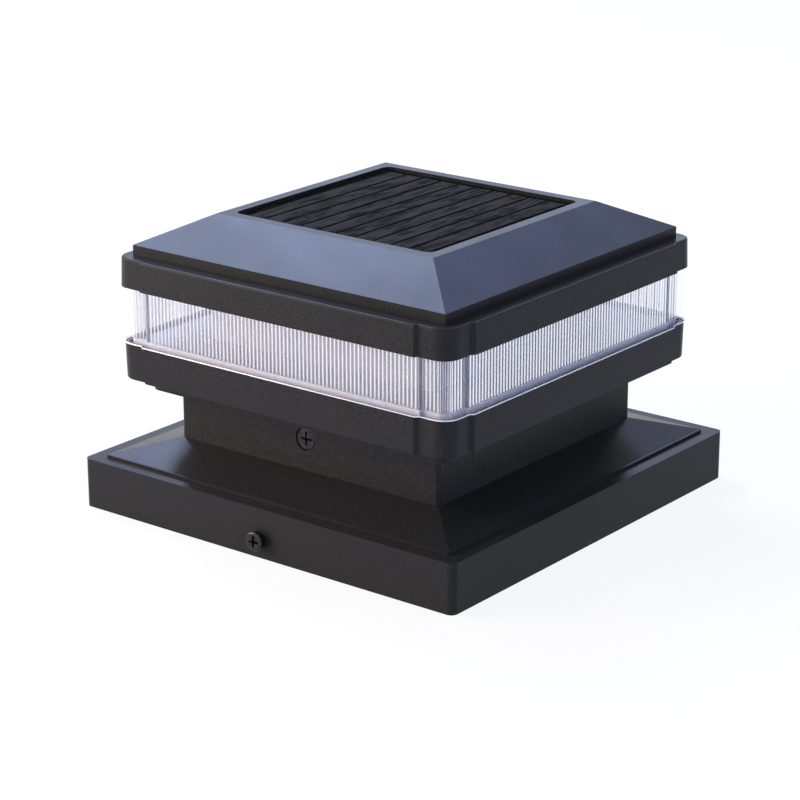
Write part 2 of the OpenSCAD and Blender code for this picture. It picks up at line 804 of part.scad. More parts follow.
// Push switch under the board, and what moves with the button
module push_switch() {
    color(wire_black) translate([0, button_y, 0]) difference() {
        block([switch_w, switch_w], switch_z, board_z);
        post(stem_r + stem_play, switch_z - over, board_z - switch_roof);
    }
}
module switch_stem() { color("white") translate([0, button_y, 0]) post(stem_r, pin_top_z, stem_top_z); }
module power_button() {
    color(black_plastic) translate([0, button_y, 0]) difference() {
        union() {
            post(button_r, button_z, floor_z);
            post(button_r + flange_w, floor_z, flange_top_z);
            post(pin_r, flange_top_z, pin_top_z);
        }
        // Groove of the sealing ring
        difference() {
            post(button_r + over, groove_z - groove_h / 2, groove_z + groove_h / 2);
            post(button_r - groove_d, groove_z - groove_h, groove_z + groove_h);
        }
        // Shallow dish for the finger
        post(button_r - 2 * pad_d, button_z - over, button_z + pad_d / 2);
    }
}
module button_seal() {
    color(silicone) translate([0, button_y, groove_z]) rotate_extrude()
        translate([button_r + slide_play - seal_squeeze - seal_wire_r, 0]) circle(seal_wire_r);
}
module button_spring() {
    color(steel) translate([0, button_y, flange_top_z + spring_wire / 2])
        coil(spring_r, spring_l, button_turns, spring_wire);
}

// Battery, its two contacts and its door
module battery_cell() {
    color("#2f6fb3") translate([battery_x - battery_l / 2, well_y, battery_z]) rotate([0, 90, 0]) {
        cylinder(r = battery_d / 2, h = battery_l - nub_h);
        cylinder(r = nub_r, h = battery_l);
    }
}
module contact_plate() {
    translate([-contact_t / 2, -contact_w / 2, battery_z - contact_h / 2])
        cube([contact_t, contact_w, contact_h]);
    translate([-contact_t / 2, -lug_w / 2, battery_z]) cube([contact_t, lug_w, lug_top_z - battery_z]);
}
module contact_spring() {
    color(steel) translate([-lug_x, well_y, 0]) {
        contact_plate();
        translate([contact_t / 2, 0, battery_z]) rotate([0, 90, 0])
            coil(contact_r, contact_spring_l, contact_turns, contact_wire);
    }
}
module contact_tab() {
    color(steel) translate([lug_x, well_y, 0]) {
        contact_plate();
        translate([-contact_t / 2 - tab_bulge, 0, battery_z]) rotate([0, 90, 0])
            cylinder(r1 = nub_r / 2, r2 = nub_r, h = tab_bulge + overlap);
    }
}

module battery_door() {
    color(black_plastic) translate([0, well_y, 0]) difference() {
        block([2 * door_half_l, 2 * door_half_w], door_z, tray_z);
        door_seal_frame(tray_z - seal_h, tray_z + over, 0);
        for (x = [-door_screw_x, door_screw_x]) translate([x, 0, 0]) {
            post(door_screw_r + clear_hole_play, door_z - over, tray_z + over);
            translate([0, 0, door_z])
                cylinder(r1 = door_head_r + head_ring, r2 = door_screw_r + clear_hole_play,
                    h = door_head_h + play);
        }
    }
}
// Frame of the door's seal round the mouth of the well; gap widens it for the groove
module door_seal_frame(z0, z1, gap) {
    difference() {
        block([well_l + 2 * (seal_w - gap), well_w + 2 * (seal_w - gap)], z0, z1);
        block([well_l + 2 * gap, well_w + 2 * gap], z0 - over, z1 + over);
    }
}
module door_seal() {
    color(silicone) translate([0, well_y, 0]) door_seal_frame(tray_z - seal_h, tray_z, slide_play);
}
module door_screws() {
    color(steel) translate([0, well_y, 0]) for (x = [-door_screw_x, door_screw_x])
        translate([x, 0, door_z]) mirror([0, 0, 1]) difference() {
            union() {
                shank(door_screw_r, door_screw_l);
                translate([0, 0, -door_head_h])
                    cylinder(r1 = door_screw_r, r2 = door_head_r, h = door_head_h);
            }
            scale(small_cross_share) cross_cut();
        }
}

module tie_screws() {
    color(steel) at_corners(tie_at) translate([0, 0, tie_head_z]) mirror([0, 0, 1]) difference() {
        union() {
            shank(tie_r, tie_l);
            cylinder(r = tie_head_r, h = tie_head_h);
        }
        translate([0, 0, tie_head_h]) scale(tie_cross_share) cross_cut();
    }
}
module neck_screws() {
    color(black_steel) on_two_sides() into_front(neck_half - head_sink, neck_screw_z) difference() {
        union() {
            shank(neck_screw_d / 2, neck_screw_l);
            translate([0, 0, -countersink_d + head_sink])
                cylinder(r1 = neck_screw_d / 2, r2 = neck_head_d / 2, h = countersink_d - head_sink);
        }
        cross_cut();
    }
}
module post_screws() {
    rise = post_head_h - pan_side_h;
    dome_r = (pow(post_head_d / 2, 2) + pow(rise, 2)) / (2 * rise);
    color(black_steel) on_two_sides() into_front(skirt_half + post_head_gap, post_screw_z) difference() {
        union() {
            shank(post_screw_d / 2, post_screw_l);
            intersection() {
                cylinder(r = post_head_d / 2, h = post_head_h);
                translate([0, 0, post_head_h - dome_r]) sphere(dome_r);
            }
        }
        translate([0, 0, post_head_h]) cross_cut();
    }
}

// Leads, each a flat curve between two square ends
module lead(from, to, rise, colour) {
    color(colour) curved_tube([from, from + rise[0], to + rise[1], to], lead_r);
}
lead_rise = 12;
function plug_top(p, side) = [p[0] + side * lead_gap / 2, p[1], plug_top_z];
module panel_lead(side, colour) {
    lead([side * lead_gap / 2, 0, panel_board_z], plug_top(panel_plug, side),
        [[0, 0, -lead_rise], [0, 0, lead_rise]], colour);
}
module panel_lead_red() { panel_lead(-1, wire_red); }
module panel_lead_black() { panel_lead(1, wire_black); }
module battery_lead(side, colour) {
    lead([side * lug_x, well_y, lug_top_z], plug_top(battery_plug, side),
        [[0, 0, lead_rise / 2], [0, 0, lead_rise]], colour);
}
module battery_lead_red() { battery_lead(1, wire_red); }
module battery_lead_black() { battery_lead(-1, wire_black); }
module led_lead(side, colour) {
    lead(plug_top(led_plug, side), [side * lead_gap / 2, core_half, led_z],
        [[0, 0, lead_rise], [0, -lead_rise / 2, 0]], colour);
}
module led_lead_red() { led_lead(-1, wire_red); }
module led_lead_black() { led_lead(1, wire_black); }
module led_jumpers() {
    end = led_board_l / 2;
    side = core_half + led_board_t - jumper_r;
    swing = (8 * (core_half + jumper_gap) - 4 * (side + end)) / 3;
    color(wire_black) for (k = [0:2], z = [led_z - jumper_rise, led_z + jumper_rise]) rotate(90 * k)
        curved_tube([[side, end, z], [side, end + swing, z], [end + swing, side, z], [end, side, z]],
            jumper_r);
}

echo(contact_spring_gap = coil_gap(coil_points(contact_r, contact_spring_l, contact_turns), contact_wire));
echo(button_spring_gap = coil_gap(coil_points(spring_r, spring_l, button_turns), spring_wire));

post_skirt();
neck_sleeve();
lower_housing();
lens_ring();
top_cover();
lower_gasket();
upper_gasket();
panel_tape();
panel_board();
solar_cells();
panel_film();
reflector_core();
led_boards();
led_chips();
control_board();
board_parts();
board_screws();
push_switch();
switch_stem();
power_button();
button_seal();
button_spring();
battery_cell();
contact_spring();
contact_tab();
battery_door();
door_seal();
door_screws();
tie_screws();
neck_screws();
post_screws();
panel_lead_red();
panel_lead_black();
battery_lead_red();
battery_lead_black();
led_lead_red();
led_lead_black();
led_jumpers();
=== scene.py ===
import math

import bpy
from mathutils import Matrix, Vector
from mathutils.geometry import tessellate_polygon


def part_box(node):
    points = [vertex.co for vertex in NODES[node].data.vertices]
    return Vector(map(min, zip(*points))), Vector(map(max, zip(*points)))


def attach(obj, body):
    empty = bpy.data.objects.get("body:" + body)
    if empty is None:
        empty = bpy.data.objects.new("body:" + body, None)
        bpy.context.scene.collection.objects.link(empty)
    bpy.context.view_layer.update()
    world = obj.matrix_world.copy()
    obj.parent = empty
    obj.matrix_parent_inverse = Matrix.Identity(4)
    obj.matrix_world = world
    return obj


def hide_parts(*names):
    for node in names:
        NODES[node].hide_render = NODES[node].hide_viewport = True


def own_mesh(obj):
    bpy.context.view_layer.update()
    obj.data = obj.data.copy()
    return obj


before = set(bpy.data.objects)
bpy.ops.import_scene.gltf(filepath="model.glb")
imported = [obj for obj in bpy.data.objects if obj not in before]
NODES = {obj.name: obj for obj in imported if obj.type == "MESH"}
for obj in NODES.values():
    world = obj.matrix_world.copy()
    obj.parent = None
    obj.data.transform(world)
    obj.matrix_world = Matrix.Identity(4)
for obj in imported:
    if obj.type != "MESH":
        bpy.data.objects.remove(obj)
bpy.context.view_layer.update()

bl_info = {
    "name": "Deck Post Cap Light",
    "version": (1, 0, 0),
    "blender": (4, 5, 0),
    "location": "View3D > Sidebar > Post Light",
    "description": "Finishes and fine pieces of a solar deck post cap light on its packed CAD frame",
    "category": "Object",
}

LAMP = "lamp"
MM = 0.001

# Outline of the lamp head in millimetres, as in the CAD source.
CORNER = 6.0  # radius of the corners
FLAT_HALF = 58.3  # half the width of the raised flat on each side
FLAT_PROUD = 1.2  # how far that flat stands out
GROOVE = 1.2  # width of the slope between the flat and the corner

# Lens ring in millimetres, half widths measured across the flats.
LAP_HALF, LAP_HEIGHT = 70.3, 2.0  # the laps that sit in the two bands
RIBBED_HALF, RIBBED_CORNER = 69.2, 3.4  # the inner face that carries the ribs
LENS_CLEARANCE = 0.03  # air between the ring and the bands
STEP_WIDTH = 1.0  # points of the ribbed outline farther apart than this stand on a step

# Marks of the lens's vertices, read by its material: a rib's height goes from 0 in a valley to RIB_MARK.
OUTSIDE_MARK, RIB_MARK, RIM_MARK, STEP_MARK = 0.8, 0.9, 1.0, 1.4

# Solar panel and light strips in millimetres.
CELL_PITCH = 7.73
SHEET_CORNER, SHEET_STEPS = 2.8, 96
LIGHT_PITCH, LIGHTS_A_SIDE = 16.8, 5

# Cross-head screws in millimetres: profile is (level, radius) from the tip to the rim of the face, cross is the
# recess's span, width and depth, thread is its root radius, pitch, first and last level.
FACE_CLEARANCE = 0.02
POST_SCREW = {
    "profile": [(-18.0, 0.05), (-16.0, 1.6), (-2.3, 1.7), (-2.0, 3.05), (-1.85, 3.3), (-1.5, 3.4), (-0.55, 3.4),
                (-0.3, 3.34), (-0.12, 3.2), (-0.02, 2.98), (0, 2.7)],
    "cross": (4.4, 0.95, 1.5),
    "thread": (1.62, 1.3, -15.6, -4.2),
}
NECK_SCREW = {
    "profile": [(-12.9, 0.05), (-10.6, 1.95), (-1.62, 2.0), (-0.2, 3.66), (-0.08, 3.74), (0, 3.6)],
    "cross": (5.1, 0.85, 1.4),
    "thread": (1.92, 1.4, -10.4, -2.4),
}

# Soft lamps: name, direction from the aim, distance in metres, size in metres, power in watts, colour.
SOFTBOXES = (
    ("top_softbox", (-0.65, 0.27, 0.76), 1.4, (0.5, 0.45), 19.0, "#BCD0FF"),
    ("back_softbox", (-0.10, 0.75, 0.66), 1.4, (0.5, 0.35), 3.3, "#98B2FF"),
    ("low_softbox", (-0.584, 0.746, 0.321), 1.4, (0.6, 0.35), 1.3, "#A4C0FF"),
    ("side_softbox", (-0.80, -0.56, 0.24), 0.9, (0.6, 0.6), 14.5, "#FFECD8"),
    ("right_softbox", (0.90, -0.25, 0.22), 0.9, (0.6, 0.6), 1.8, "#C8D6FF"),
)
FLOOR_HALF = 4000  # millimetres
FLOOR_WHITE = 0.88  # share of plain white in what is seen of the floor


# Shader helpers

def linear(hex_colour):
    """Linear RGBA of an sRGB hex colour."""
    parts = [int(hex_colour[i:i + 2], 16) / 255 for i in (1, 3, 5)]
    return tuple(c / 12.92 if c <= 0.04045 else ((c + 0.055) / 1.055) ** 2.4 for c in parts) + (1.0,)


def add_node(tree, kind, settings=None, inputs=None):
    """Add one node; settings are its properties, inputs map a socket's name or index to a value or a link."""
    made = tree.nodes.new(kind)
    for key, value in (settings or {}).items():
        setattr(made, key, value)
    for key, value in (inputs or {}).items():
        if isinstance(value, bpy.types.NodeSocket):
            tree.links.new(value, made.inputs[key])
        else:
            made.inputs[key].default_value = value
    return made


def new_material(name):
    """An empty node material, its tree and its texture coordinates in the row frame, in metres."""
    made = bpy.data.materials.new(name)
    made.use_nodes = True
    tree = made.node_tree
    tree.nodes.clear()
    return made, tree, add_node(tree, "ShaderNodeTexCoord").outputs["Object"]


def surface(tree, shader):
    """Send a shader to the material's output."""
    add_node(tree, "ShaderNodeOutputMaterial", inputs={"Surface": shader.outputs[0]})


def principled(tree, **sockets):
    """Finish a material with one Principled shader; a socket's name has _ for each space."""
    inputs = {name.replace("_", " "): value for name, value in sockets.items()}
    surface(tree, add_node(tree, "ShaderNodeBsdfPrincipled", inputs=inputs))


def stretched(tree, place, stretch):
    """Texture coordinates with each axis divided by its own stretch, for streaks."""
    return add_node(tree, "ShaderNodeMapping", inputs={
        "Vector": place, "Scale": [1 / s for s in stretch]}).outputs[0]


def noise(tree, place, size_mm, detail=2.0, distortion=0.0):
    """Noise whose features are about size_mm across."""
    return add_node(tree, "ShaderNodeTexNoise", inputs={
        "Vector": place, "Scale": 1 / (size_mm * MM), "Detail": detail, "Distortion": distortion}).outputs[0]


def blend_colours(tree, factor, first, second):
    """The first colour where factor is 0, the second where it is 1."""
    return add_node(tree, "ShaderNodeMix", {"data_type": "RGBA"}, {0: factor, 6: first, 7: second}).outputs[2]


def spread(tree, value, low, high, start=0.3, end=0.7):
    """Map a pattern's range from start to end, its middle if not given, to low..high."""
    return add_node(tree, "ShaderNodeMapRange", {"interpolation_type": "SMOOTHSTEP"}, {
        "Value": value, "From Min": start, "From Max": end, "To Min": low, "To Max": high}).outputs[0]


def relief(tree, height, depth_mm):
    """Surface direction over a relief of the given depth."""
    return add_node(tree, "ShaderNodeBump", inputs={
        "Height": height, "Distance": depth_mm * MM, "Strength": 1.0}).outputs[0]


def seen(tree):
    """1 where a thing is seen directly, in gloss or through glass, 0 where it only gives light."""
    ray = add_node(tree, "ShaderNodeLightPath").outputs
    either = ray["Is Camera Ray"]
    for kind in ("Is Glossy Ray", "Is Transmission Ray"):
        either = add_node(tree, "ShaderNodeMath", {"operation": "MAXIMUM"}, {0: either, 1: ray[kind]}).outputs[0]
    return either


def patterned(name, colours, patch_mm, grain_mm, grain_depth_mm, rough, sockets=None, stretch=(1, 1, 1),
              speckled=False):
    """A solid material over a fine relief, between two hex colours over patch_mm, or from grain to grain when
    speckled; rough is its least and most roughness."""
    made, tree, place = new_material(name)
    drift = noise(tree, stretched(tree, place, stretch), patch_mm, 3.0)
    grain = noise(tree, stretched(tree, place, stretch), grain_mm, 1.5)
    mixed = spread(tree, grain if speckled else drift, 0.0, 1.0)
    inputs = {
        "Base Color": blend_colours(tree, mixed, linear(colours[0]), linear(colours[1])),
        "Roughness": spread(tree, drift, *rough),
        "Normal": relief(tree, grain, grain_depth_mm),
    }
    inputs.update(sockets or {})
    surface(tree, add_node(tree, "ShaderNodeBsdfPrincipled", inputs=inputs))
    return made


# Mesh helpers, all sizes in millimetres

def mesh_object(name, points, faces, material, smooth=True):
    """A mesh object in the scene, its points turned from millimetres into metres."""
    mesh = bpy.data.meshes.new(name)
    mesh.from_pydata([Vector(p) * MM for p in points], [], faces)
    mesh.validate()
    mesh.polygons.foreach_set("use_smooth", [smooth] * len(mesh.polygons))
    mesh.materials.append(material)
    made = bpy.data.objects.new(name, mesh)
    bpy.context.scene.collection.objects.link(made)
    return made


def place_piece(made, body, replaced=()):
    """Tell the frame which body carries a piece and the CAD nodes it stands for."""
    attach(made, body)
    if replaced:
        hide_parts(*replaced)
    return made


def joined(*parts):
    """One list of points and faces out of several."""
    points, faces = [], []
    for part_points, part_faces in parts:
        start = len(points)
        points += [Vector(p) for p in part_points]
        faces += [[start + i for i in face] for face in part_faces]
    return points, faces


def circle(centre, radius, side, across, sides):
    """Points of a circle in the plane of two directions."""
    turns = [2 * math.pi * k / sides for k in range(sides)]
    return [centre + (side * math.cos(turn) + across * math.sin(turn)) * radius for turn in turns]


def tube_faces(rows, sides):
    """Faces of a closed tube of rows of points, with its two ends."""
    faces = []
    for i in range(rows - 1):
        for k in range(sides):
            a, b = i * sides + k, i * sides + (k + 1) % sides
            faces.append([a, b, b + sides, a + sides])
    faces.append(list(range(sides))[::-1])
    faces.append([(rows - 1) * sides + k for k in range(sides)])
    return faces


def tube(path, radius, sides=16):
    """A closed tube along a path, its rings carried on without twist; radius may be a list."""
    path = [Vector(p) for p in path]
    radii = radius if isinstance(radius, list) else [radius] * len(path)
    points = []
    side = (path[1] - path[0]).orthogonal().normalized()
    for i, centre in enumerate(path):
        ahead = path[min(i + 1, len(path) - 1)] - path[max(i - 1, 0)]
        ahead.normalize()
        side = (side - ahead * side.dot(ahead)).normalized()
        points += circle(centre, radii[i], side, ahead.cross(side), sides)
    return points, tube_faces(len(path), sides)


def lathe(profile, start, ahead, sides=64):
    """A solid of revolution: profile is (distance along, radius) from start in the direction ahead."""
    start, ahead = Vector(start), Vector(ahead).normalized()
    side = ahead.orthogonal().normalized()
    points = []
    for along, radius in profile:
        points += circle(start + ahead * along, radius, side, ahead.cross(side), sides)
    return points, tube_faces(len(profile), sides)


def cubic(p, steps=48):
    """Points of a cubic curve through four control points."""
    p = [Vector(q) for q in p]
    out = []
    for i in range(steps + 1):
        t = i / steps
        out.append(p[0] * (1 - t) ** 3 + p[1] * 3 * t * (1 - t) ** 2 + p[2] * 3 * t * t * (1 - t) + p[3] * t ** 3)
    return out


def helix(start, ahead, radius, length, turns, steps=32):
    """Points of a helix from start, in the direction ahead."""
    start, ahead = Vector(start), Vector(ahead).normalized()
    side = Vector((1, 0, 0)) if abs(ahead.x) < 0.5 else Vector((0, 0, -1))
    across = ahead.cross(side)
    count = int(steps * turns)
    angle = 2 * math.pi
    return [start + ahead * (length * i / count)
            + (side * math.cos(angle * i / steps) + across * math.sin(angle * i / steps)) * radius
            for i in range(count + 1)]


def soft_box(centre, size, edge):
    """A block with chamfered edges all round, from its middle and its three sizes."""
    half = [s / 2 for s in size]
    points = []
    for inset, z in ((edge, -half[2]), (0, -half[2] + edge), (0, half[2] - edge), (edge, half[2])):
        for sx, sy in ((1, 1), (-1, 1), (-1, -1), (1, -1)):
            x, y = sx * (half[0] - inset), sy * (half[1] - inset)
            first, second = (x - sx * edge, y), (x, y - sy * edge)
            for px, py in ((second, first) if sx * sy > 0 else (first, second)):
                points.append((centre[0] + px, centre[1] + py, centre[2] + z))
    faces = [[i * 8 + k, i * 8 + (k + 1) % 8, i * 8 + 8 + (k + 1) % 8, i * 8 + 8 + k]
             for i in range(3) for k in range(8)]
    faces += [list(range(8))[::-1], list(range(24, 32))]
    return points, faces


def crossed(reach, half, level):
    """The twelve corners of a cross recess at one level."""
    quarter = ((reach, -half), (reach, half), (half, half))
    return [quarter_turned((x, y, level), k) for k in range(4) for x, y in quarter]


def filled(points, loops):
    """Triangles over flat loops of point numbers: the first is the outline, the rest are holes."""
    order = [i for loop in loops for i in loop]
    return [[order[i] for i in tri] for tri in tessellate_polygon([[points[i] for i in loop] for loop in loops])]


def screw(place, out, profile, cross, thread, sides=48):
    """A cross-head screw at place, its head towards out; the other shapes are told at POST_SCREW."""
    points, faces = lathe(profile, (0, 0, 0), (0, 0, 1), sides)
    faces.pop()  # the head's end face, which gets the cross recess instead
    rim = list(range(len(points) - sides, len(points)))
    top = profile[-1][0]
    span, width, depth = cross
    mouth = list(range(len(points), len(points) + 12))
    points += [Vector(p) for p in crossed(span / 2, width / 2, top)]
    bottom = list(range(len(points), len(points) + 12))
    points += [Vector(p) for p in crossed(span * 0.24, width * 0.34, top - depth)]  # it narrows inwards
    faces += filled(points, [rim, mouth]) + filled(points, [bottom])
    faces += [[mouth[i], mouth[(i + 1) % 12], bottom[(i + 1) % 12], bottom[i]] for i in range(12)]
    root, pitch, start, end = thread
    path = helix((0, 0, start), (0, 0, 1), root, end - start, (end - start) / pitch, 24)
    ridge = [0.05] + [0.24] * (len(path) - 2) + [0.05]  # it runs out thin at both ends
    points, faces = joined((points, faces), tube(path, ridge, 6))
    turn = Vector(out).to_track_quat("Z", "Y").to_matrix()
    return [turn @ p + Vector(place) for p in points], faces


def quarter_turned(point, k):
    """A point turned k quarter turns about the upright axis."""
    x, y, z = point
    for _ in range(k):
        x, y = -y, x
    return (x, y, z)


def all_round(side):
    """A closed outline out of one side and the corner after it, without doubled points."""
    points = [quarter_turned((x, y, 0), k)[:2] for k in range(4) for x, y in side]
    return [p for i, p in enumerate(points) if math.dist(p, points[i - 1]) > 1e-4]


def head_outline(half):
    """Outline of the lamp head: raised flats, slopes beside them and round corners."""
    c, g, turns = half - FLAT_PROUD, FLAT_HALF + GROOVE, 10
    arc = [(c - CORNER + CORNER * math.cos(math.pi / 2 * i / turns),
            c - CORNER + CORNER * math.sin(math.pi / 2 * i / turns)) for i in range(turns + 1)]
    return all_round([(c, -g), (half, -FLAT_HALF), (half, FLAT_HALF), (c, g)] + arc)


def rib_shape(i):
    """Depth share at one of the four points of a rib."""
    return (0.0, 0.75, 1.0, 0.75)[i % 4]


def ribs(start, end, inward, pitch, depth):
    """Points of a row of ribs from start to end, each rounded over four steps."""
    span = math.dist(start, end)
    count = max(1, round(span / pitch)) * 4
    return [tuple(a + (b - a) * i / count + n * depth * rib_shape(i) for a, b, n in zip(start, end, inward))
            for i in range(count + 1)]


def ribbed_outline(pitch, depth):
    """Outline of the lens's inner face with ribs cut inwards, round the corners too; depth 0 leaves it plain."""
    half, corner, g = RIBBED_HALF, RIBBED_CORNER, FLAT_HALF
    c = half - FLAT_PROUD
    flat = ribs((half, -g), (half, g), (-1, 0), pitch, depth)
    first = ribs((c, g), (c, c - corner), (-1, 0), pitch, depth)
    last = ribs((c - corner, c), (g, c), (0, -1), pitch, depth)
    count = round(math.pi / 2 * CORNER / pitch) * 4
    arc = []
    for i in range(count):
        angle, cut = math.pi / 2 * i / count, depth * rib_shape(i)
        arc.append((c - corner + (corner - cut) * math.cos(angle), c - corner + (corner - cut) * math.sin(angle)))
    return all_round(flat + first[:-1] + arc + last[:-1] + [(g, c)])


def rib_marks(ribbed, plain, depth):
    """The marks of a ribbed outline's points: their height on the rib, or STEP_MARK beside a step."""
    marks = []
    for i, point in enumerate(ribbed):
        gap = max(math.dist(point, ribbed[i - 1]), math.dist(point, ribbed[(i + 1) % len(ribbed)]))
        marks.append(STEP_MARK if gap > STEP_WIDTH else RIB_MARK * (math.dist(point, plain[i]) / depth))
    return marks


def looped(loops, closed=True):
    """Faces through loops of equal length, one after another; closed joins the last to the first."""
    count = len(loops[0])
    points = [p for loop in loops for p in loop]
    faces = []
    for k in range(len(loops) if closed else len(loops) - 1):
        a, b = k * count, (k + 1) % len(loops) * count
        faces += [[a + i, a + (i + 1) % count, b + (i + 1) % count, b + i] for i in range(count)]
    return points, faces


def levelled(outline, z):
    """An outline's points at one level."""
    return [(x, y, z) for x, y in outline]


def sheet_wave(x, y):
    """Share of the sheet's wave at a place: one crest to each cell strip, with a slow drift."""
    return 0.5 + 0.3 * math.sin(x * 0.81) + 0.2 * math.sin(x * 0.31 + y * 0.23) * math.cos(y * 0.17)


# Sizes that a user would change

class HousingFinish(bpy.types.PropertyGroup):
    """Moulded black housings"""
    colour: bpy.props.StringProperty(
        name="Colour", description="sRGB colour of the plastic", default="#1D1D1E")
    worn: bpy.props.StringProperty(
        name="Second colour", description="sRGB colour of its lighter grains", default="#2D2D2E")
    grain: bpy.props.FloatProperty(
        name="Grain", description="Width of one grain, in millimetres", default=0.4, min=0.1, max=2.0)
    depth: bpy.props.FloatProperty(
        name="Grain depth", description="Depth of the grain, in millimetres", default=0.012, min=0.0, max=0.2)


class LensFinish(bpy.types.PropertyGroup):
    """Clear ribbed ring"""
    tint: bpy.props.StringProperty(
        name="Tint", description="sRGB tint of the clear plastic", default="#C6C6DA")
    rim: bpy.props.StringProperty(
        name="Rim", description="sRGB colour of the plain rim", default="#C6C6D4")
    # Colour of the painted shade on the steps beside the corners.
    step: bpy.props.StringProperty(
        name="Steps", description="sRGB colour of the steps beside the corners", default="#747480")
    haze: bpy.props.FloatProperty(
        name="Haze", description="Roughness of its surface", default=0.03, min=0.0, max=0.5)
    rib_pitch: bpy.props.FloatProperty(
        name="Rib pitch", description="Spacing of the ribs", default=0.001645, unit="LENGTH")
    rib_depth: bpy.props.FloatProperty(
        name="Rib depth", description="Depth of the ribs", default=0.00055, unit="LENGTH")


class PanelFinish(bpy.types.PropertyGroup):
    """Solar panel"""
    # The cells' tone reaches this colour under the painted reflection smears.
    cell: bpy.props.StringProperty(
        name="Cell", description="sRGB colour of the cells", default="#3B3B37")
    border: bpy.props.StringProperty(
        name="Border", description="sRGB colour of the board's border", default="#16140C")
    wave: bpy.props.FloatProperty(
        name="Wave", description="Height of the sheet's waves, in millimetres", default=0.06, min=0.0, max=0.1)


class StageSetup(bpy.types.PropertyGroup):
    """Floor, lamps and camera"""
    azimuth: bpy.props.FloatProperty(
        name="Azimuth", description="Camera's turn about the post", default=math.radians(38.062),
        subtype="ANGLE", unit="ROTATION")
    elevation: bpy.props.FloatProperty(
        name="Elevation", description="Camera's height angle", default=math.radians(18.714),
        subtype="ANGLE", unit="ROTATION")
    distance: bpy.props.FloatProperty(
        name="Distance", description="Camera's distance", default=0.87451, unit="LENGTH")
    roll: bpy.props.FloatProperty(
        name="Roll", description="Camera's roll", default=math.radians(-0.106),
        subtype="ANGLE", unit="ROTATION")
    lens: bpy.props.FloatProperty(
        name="Lens", description="Focal length on a 36 mm sensor", default=119.095)
    aim: bpy.props.FloatVectorProperty(
        name="Aim", description="Point in the picture's middle", default=(0.027385, -0.03946, 0.05),
        subtype="XYZ", unit="LENGTH")
    floor: bpy.props.StringProperty(
        name="Floor", description="sRGB colour of the floor", default="#F4F4F6")


# Materials by what they are

def moulded_black_abs(settings):
    # ABS from a spark-eroded mould: a fine sparkle on lit faces and a broad cool sheen on what looks up.
    # The real grain is about 0.15 mm and is drawn at 0.4 mm so that it shows.
    # The grain shades itself, so little gloss is left at a steep view.
    return patterned("moulded_black_abs", (settings.colour, settings.worn), patch_mm=26, grain_mm=settings.grain,
                     grain_depth_mm=settings.depth, rough=(0.27, 0.33),
                     sockets={"IOR": 1.54, "Specular IOR Level": 0.07}, speckled=True)


def clear_polished_polycarbonate(settings):
    # Clear polycarbonate, polished mould: the smooth outer face shows only a little gloss and lets the ribs
    # show through, less so at a flat angle.
    made, tree, place = new_material("clear_polished_polycarbonate")
    ripple = noise(tree, place, size_mm=9, detail=1.0)
    facing = add_node(tree, "ShaderNodeLayerWeight", inputs={"Blend": 0.3}).outputs["Facing"]
    principled(
        tree,
        Base_Color=blend_colours(tree, ripple, linear("#FFFFFF"), linear("#FAFAFF")),
        IOR=1.585,
        Transmission_Weight=1.0,
        Alpha=spread(tree, facing, 0.06, 0.55, start=0.5, end=1.0),
        Roughness=spread(tree, ripple, settings.haze * 0.6, settings.haze * 1.4),
        Normal=relief(tree, ripple, 0.002))
    return made


def ribbed_moulded_polycarbonate(settings):
    # The same polycarbonate inside: each valley between two ribs throws the light back whole, as glass does at a
    # flat angle, and shows as a white line (Metallic stands for that). The ribs themselves are nearly clear, with a
    # lavender tint; the plain rim looks a duller lavender grey. The steps beside the corners are painted a darker
    # grey as painted shade on their slopes, which turn away from the light.
    made, tree, place = new_material("ribbed_moulded_polycarbonate")
    rib = add_node(tree, "ShaderNodeAttribute", {"attribute_name": "rib"}).outputs["Fac"]
    ripple = noise(tree, place, size_mm=9, detail=1.0)
    valley = spread(tree, rib, 1.0, 0.0, start=0.35, end=0.75)
    plain = spread(tree, rib, 0.0, 1.0, start=0.92, end=RIM_MARK)
    # Painted shade: the steps beside the corners take the darker step colour.
    step = spread(tree, rib, 0.0, 1.0, start=RIM_MARK, end=STEP_MARK)
    cloudy = add_node(tree, "ShaderNodeMath", {"operation": "ADD"}, {0: valley, 1: plain}).outputs[0]
    tone = blend_colours(tree, valley, linear(settings.tint), linear("#FFFFFF"))
    tone = blend_colours(tree, plain, tone, linear(settings.rim))
    principled(
        tree,
        Base_Color=blend_colours(tree, step, tone, linear(settings.step)),
        IOR=1.585,
        Metallic=spread(tree, valley, 0.0, 0.9, start=0.0, end=1.0),
        Alpha=spread(tree, cloudy, 0.24, 0.93, start=0.0, end=1.0),
        Roughness=spread(tree, ripple, settings.haze * 8, settings.haze * 10))
    return made


def lens_edge_painted_highlight():
    # Painted highlight: the lens's lower edge, where light gathers inside the clear plastic, is drawn as a thin
    # white line.
    made, tree, place = new_material("lens_edge_painted_highlight")
    ripple = noise(tree, place, size_mm=9, detail=1.0)
    principled(
        tree,
        Base_Color=blend_colours(tree, ripple, linear("#FFFFFF"), linear("#F4F5FF")),
        IOR=1.585,
        Transmission_Weight=0.3,
        Roughness=spread(tree, ripple, 0.15, 0.25))
    return made


def satin_pale_abs():
    # Pale ABS reflector, satin, that spreads the light evenly; its lavender grey, darker than the pale plastic, is
    # painted shade for the dim light behind the lens.
    return patterned("satin_pale_abs", ("#CACAD6", "#D0D0DC"), patch_mm=30, grain_mm=0.8, grain_depth_mm=0.01,
                     rough=(0.35, 0.45), sockets={"IOR": 1.54})


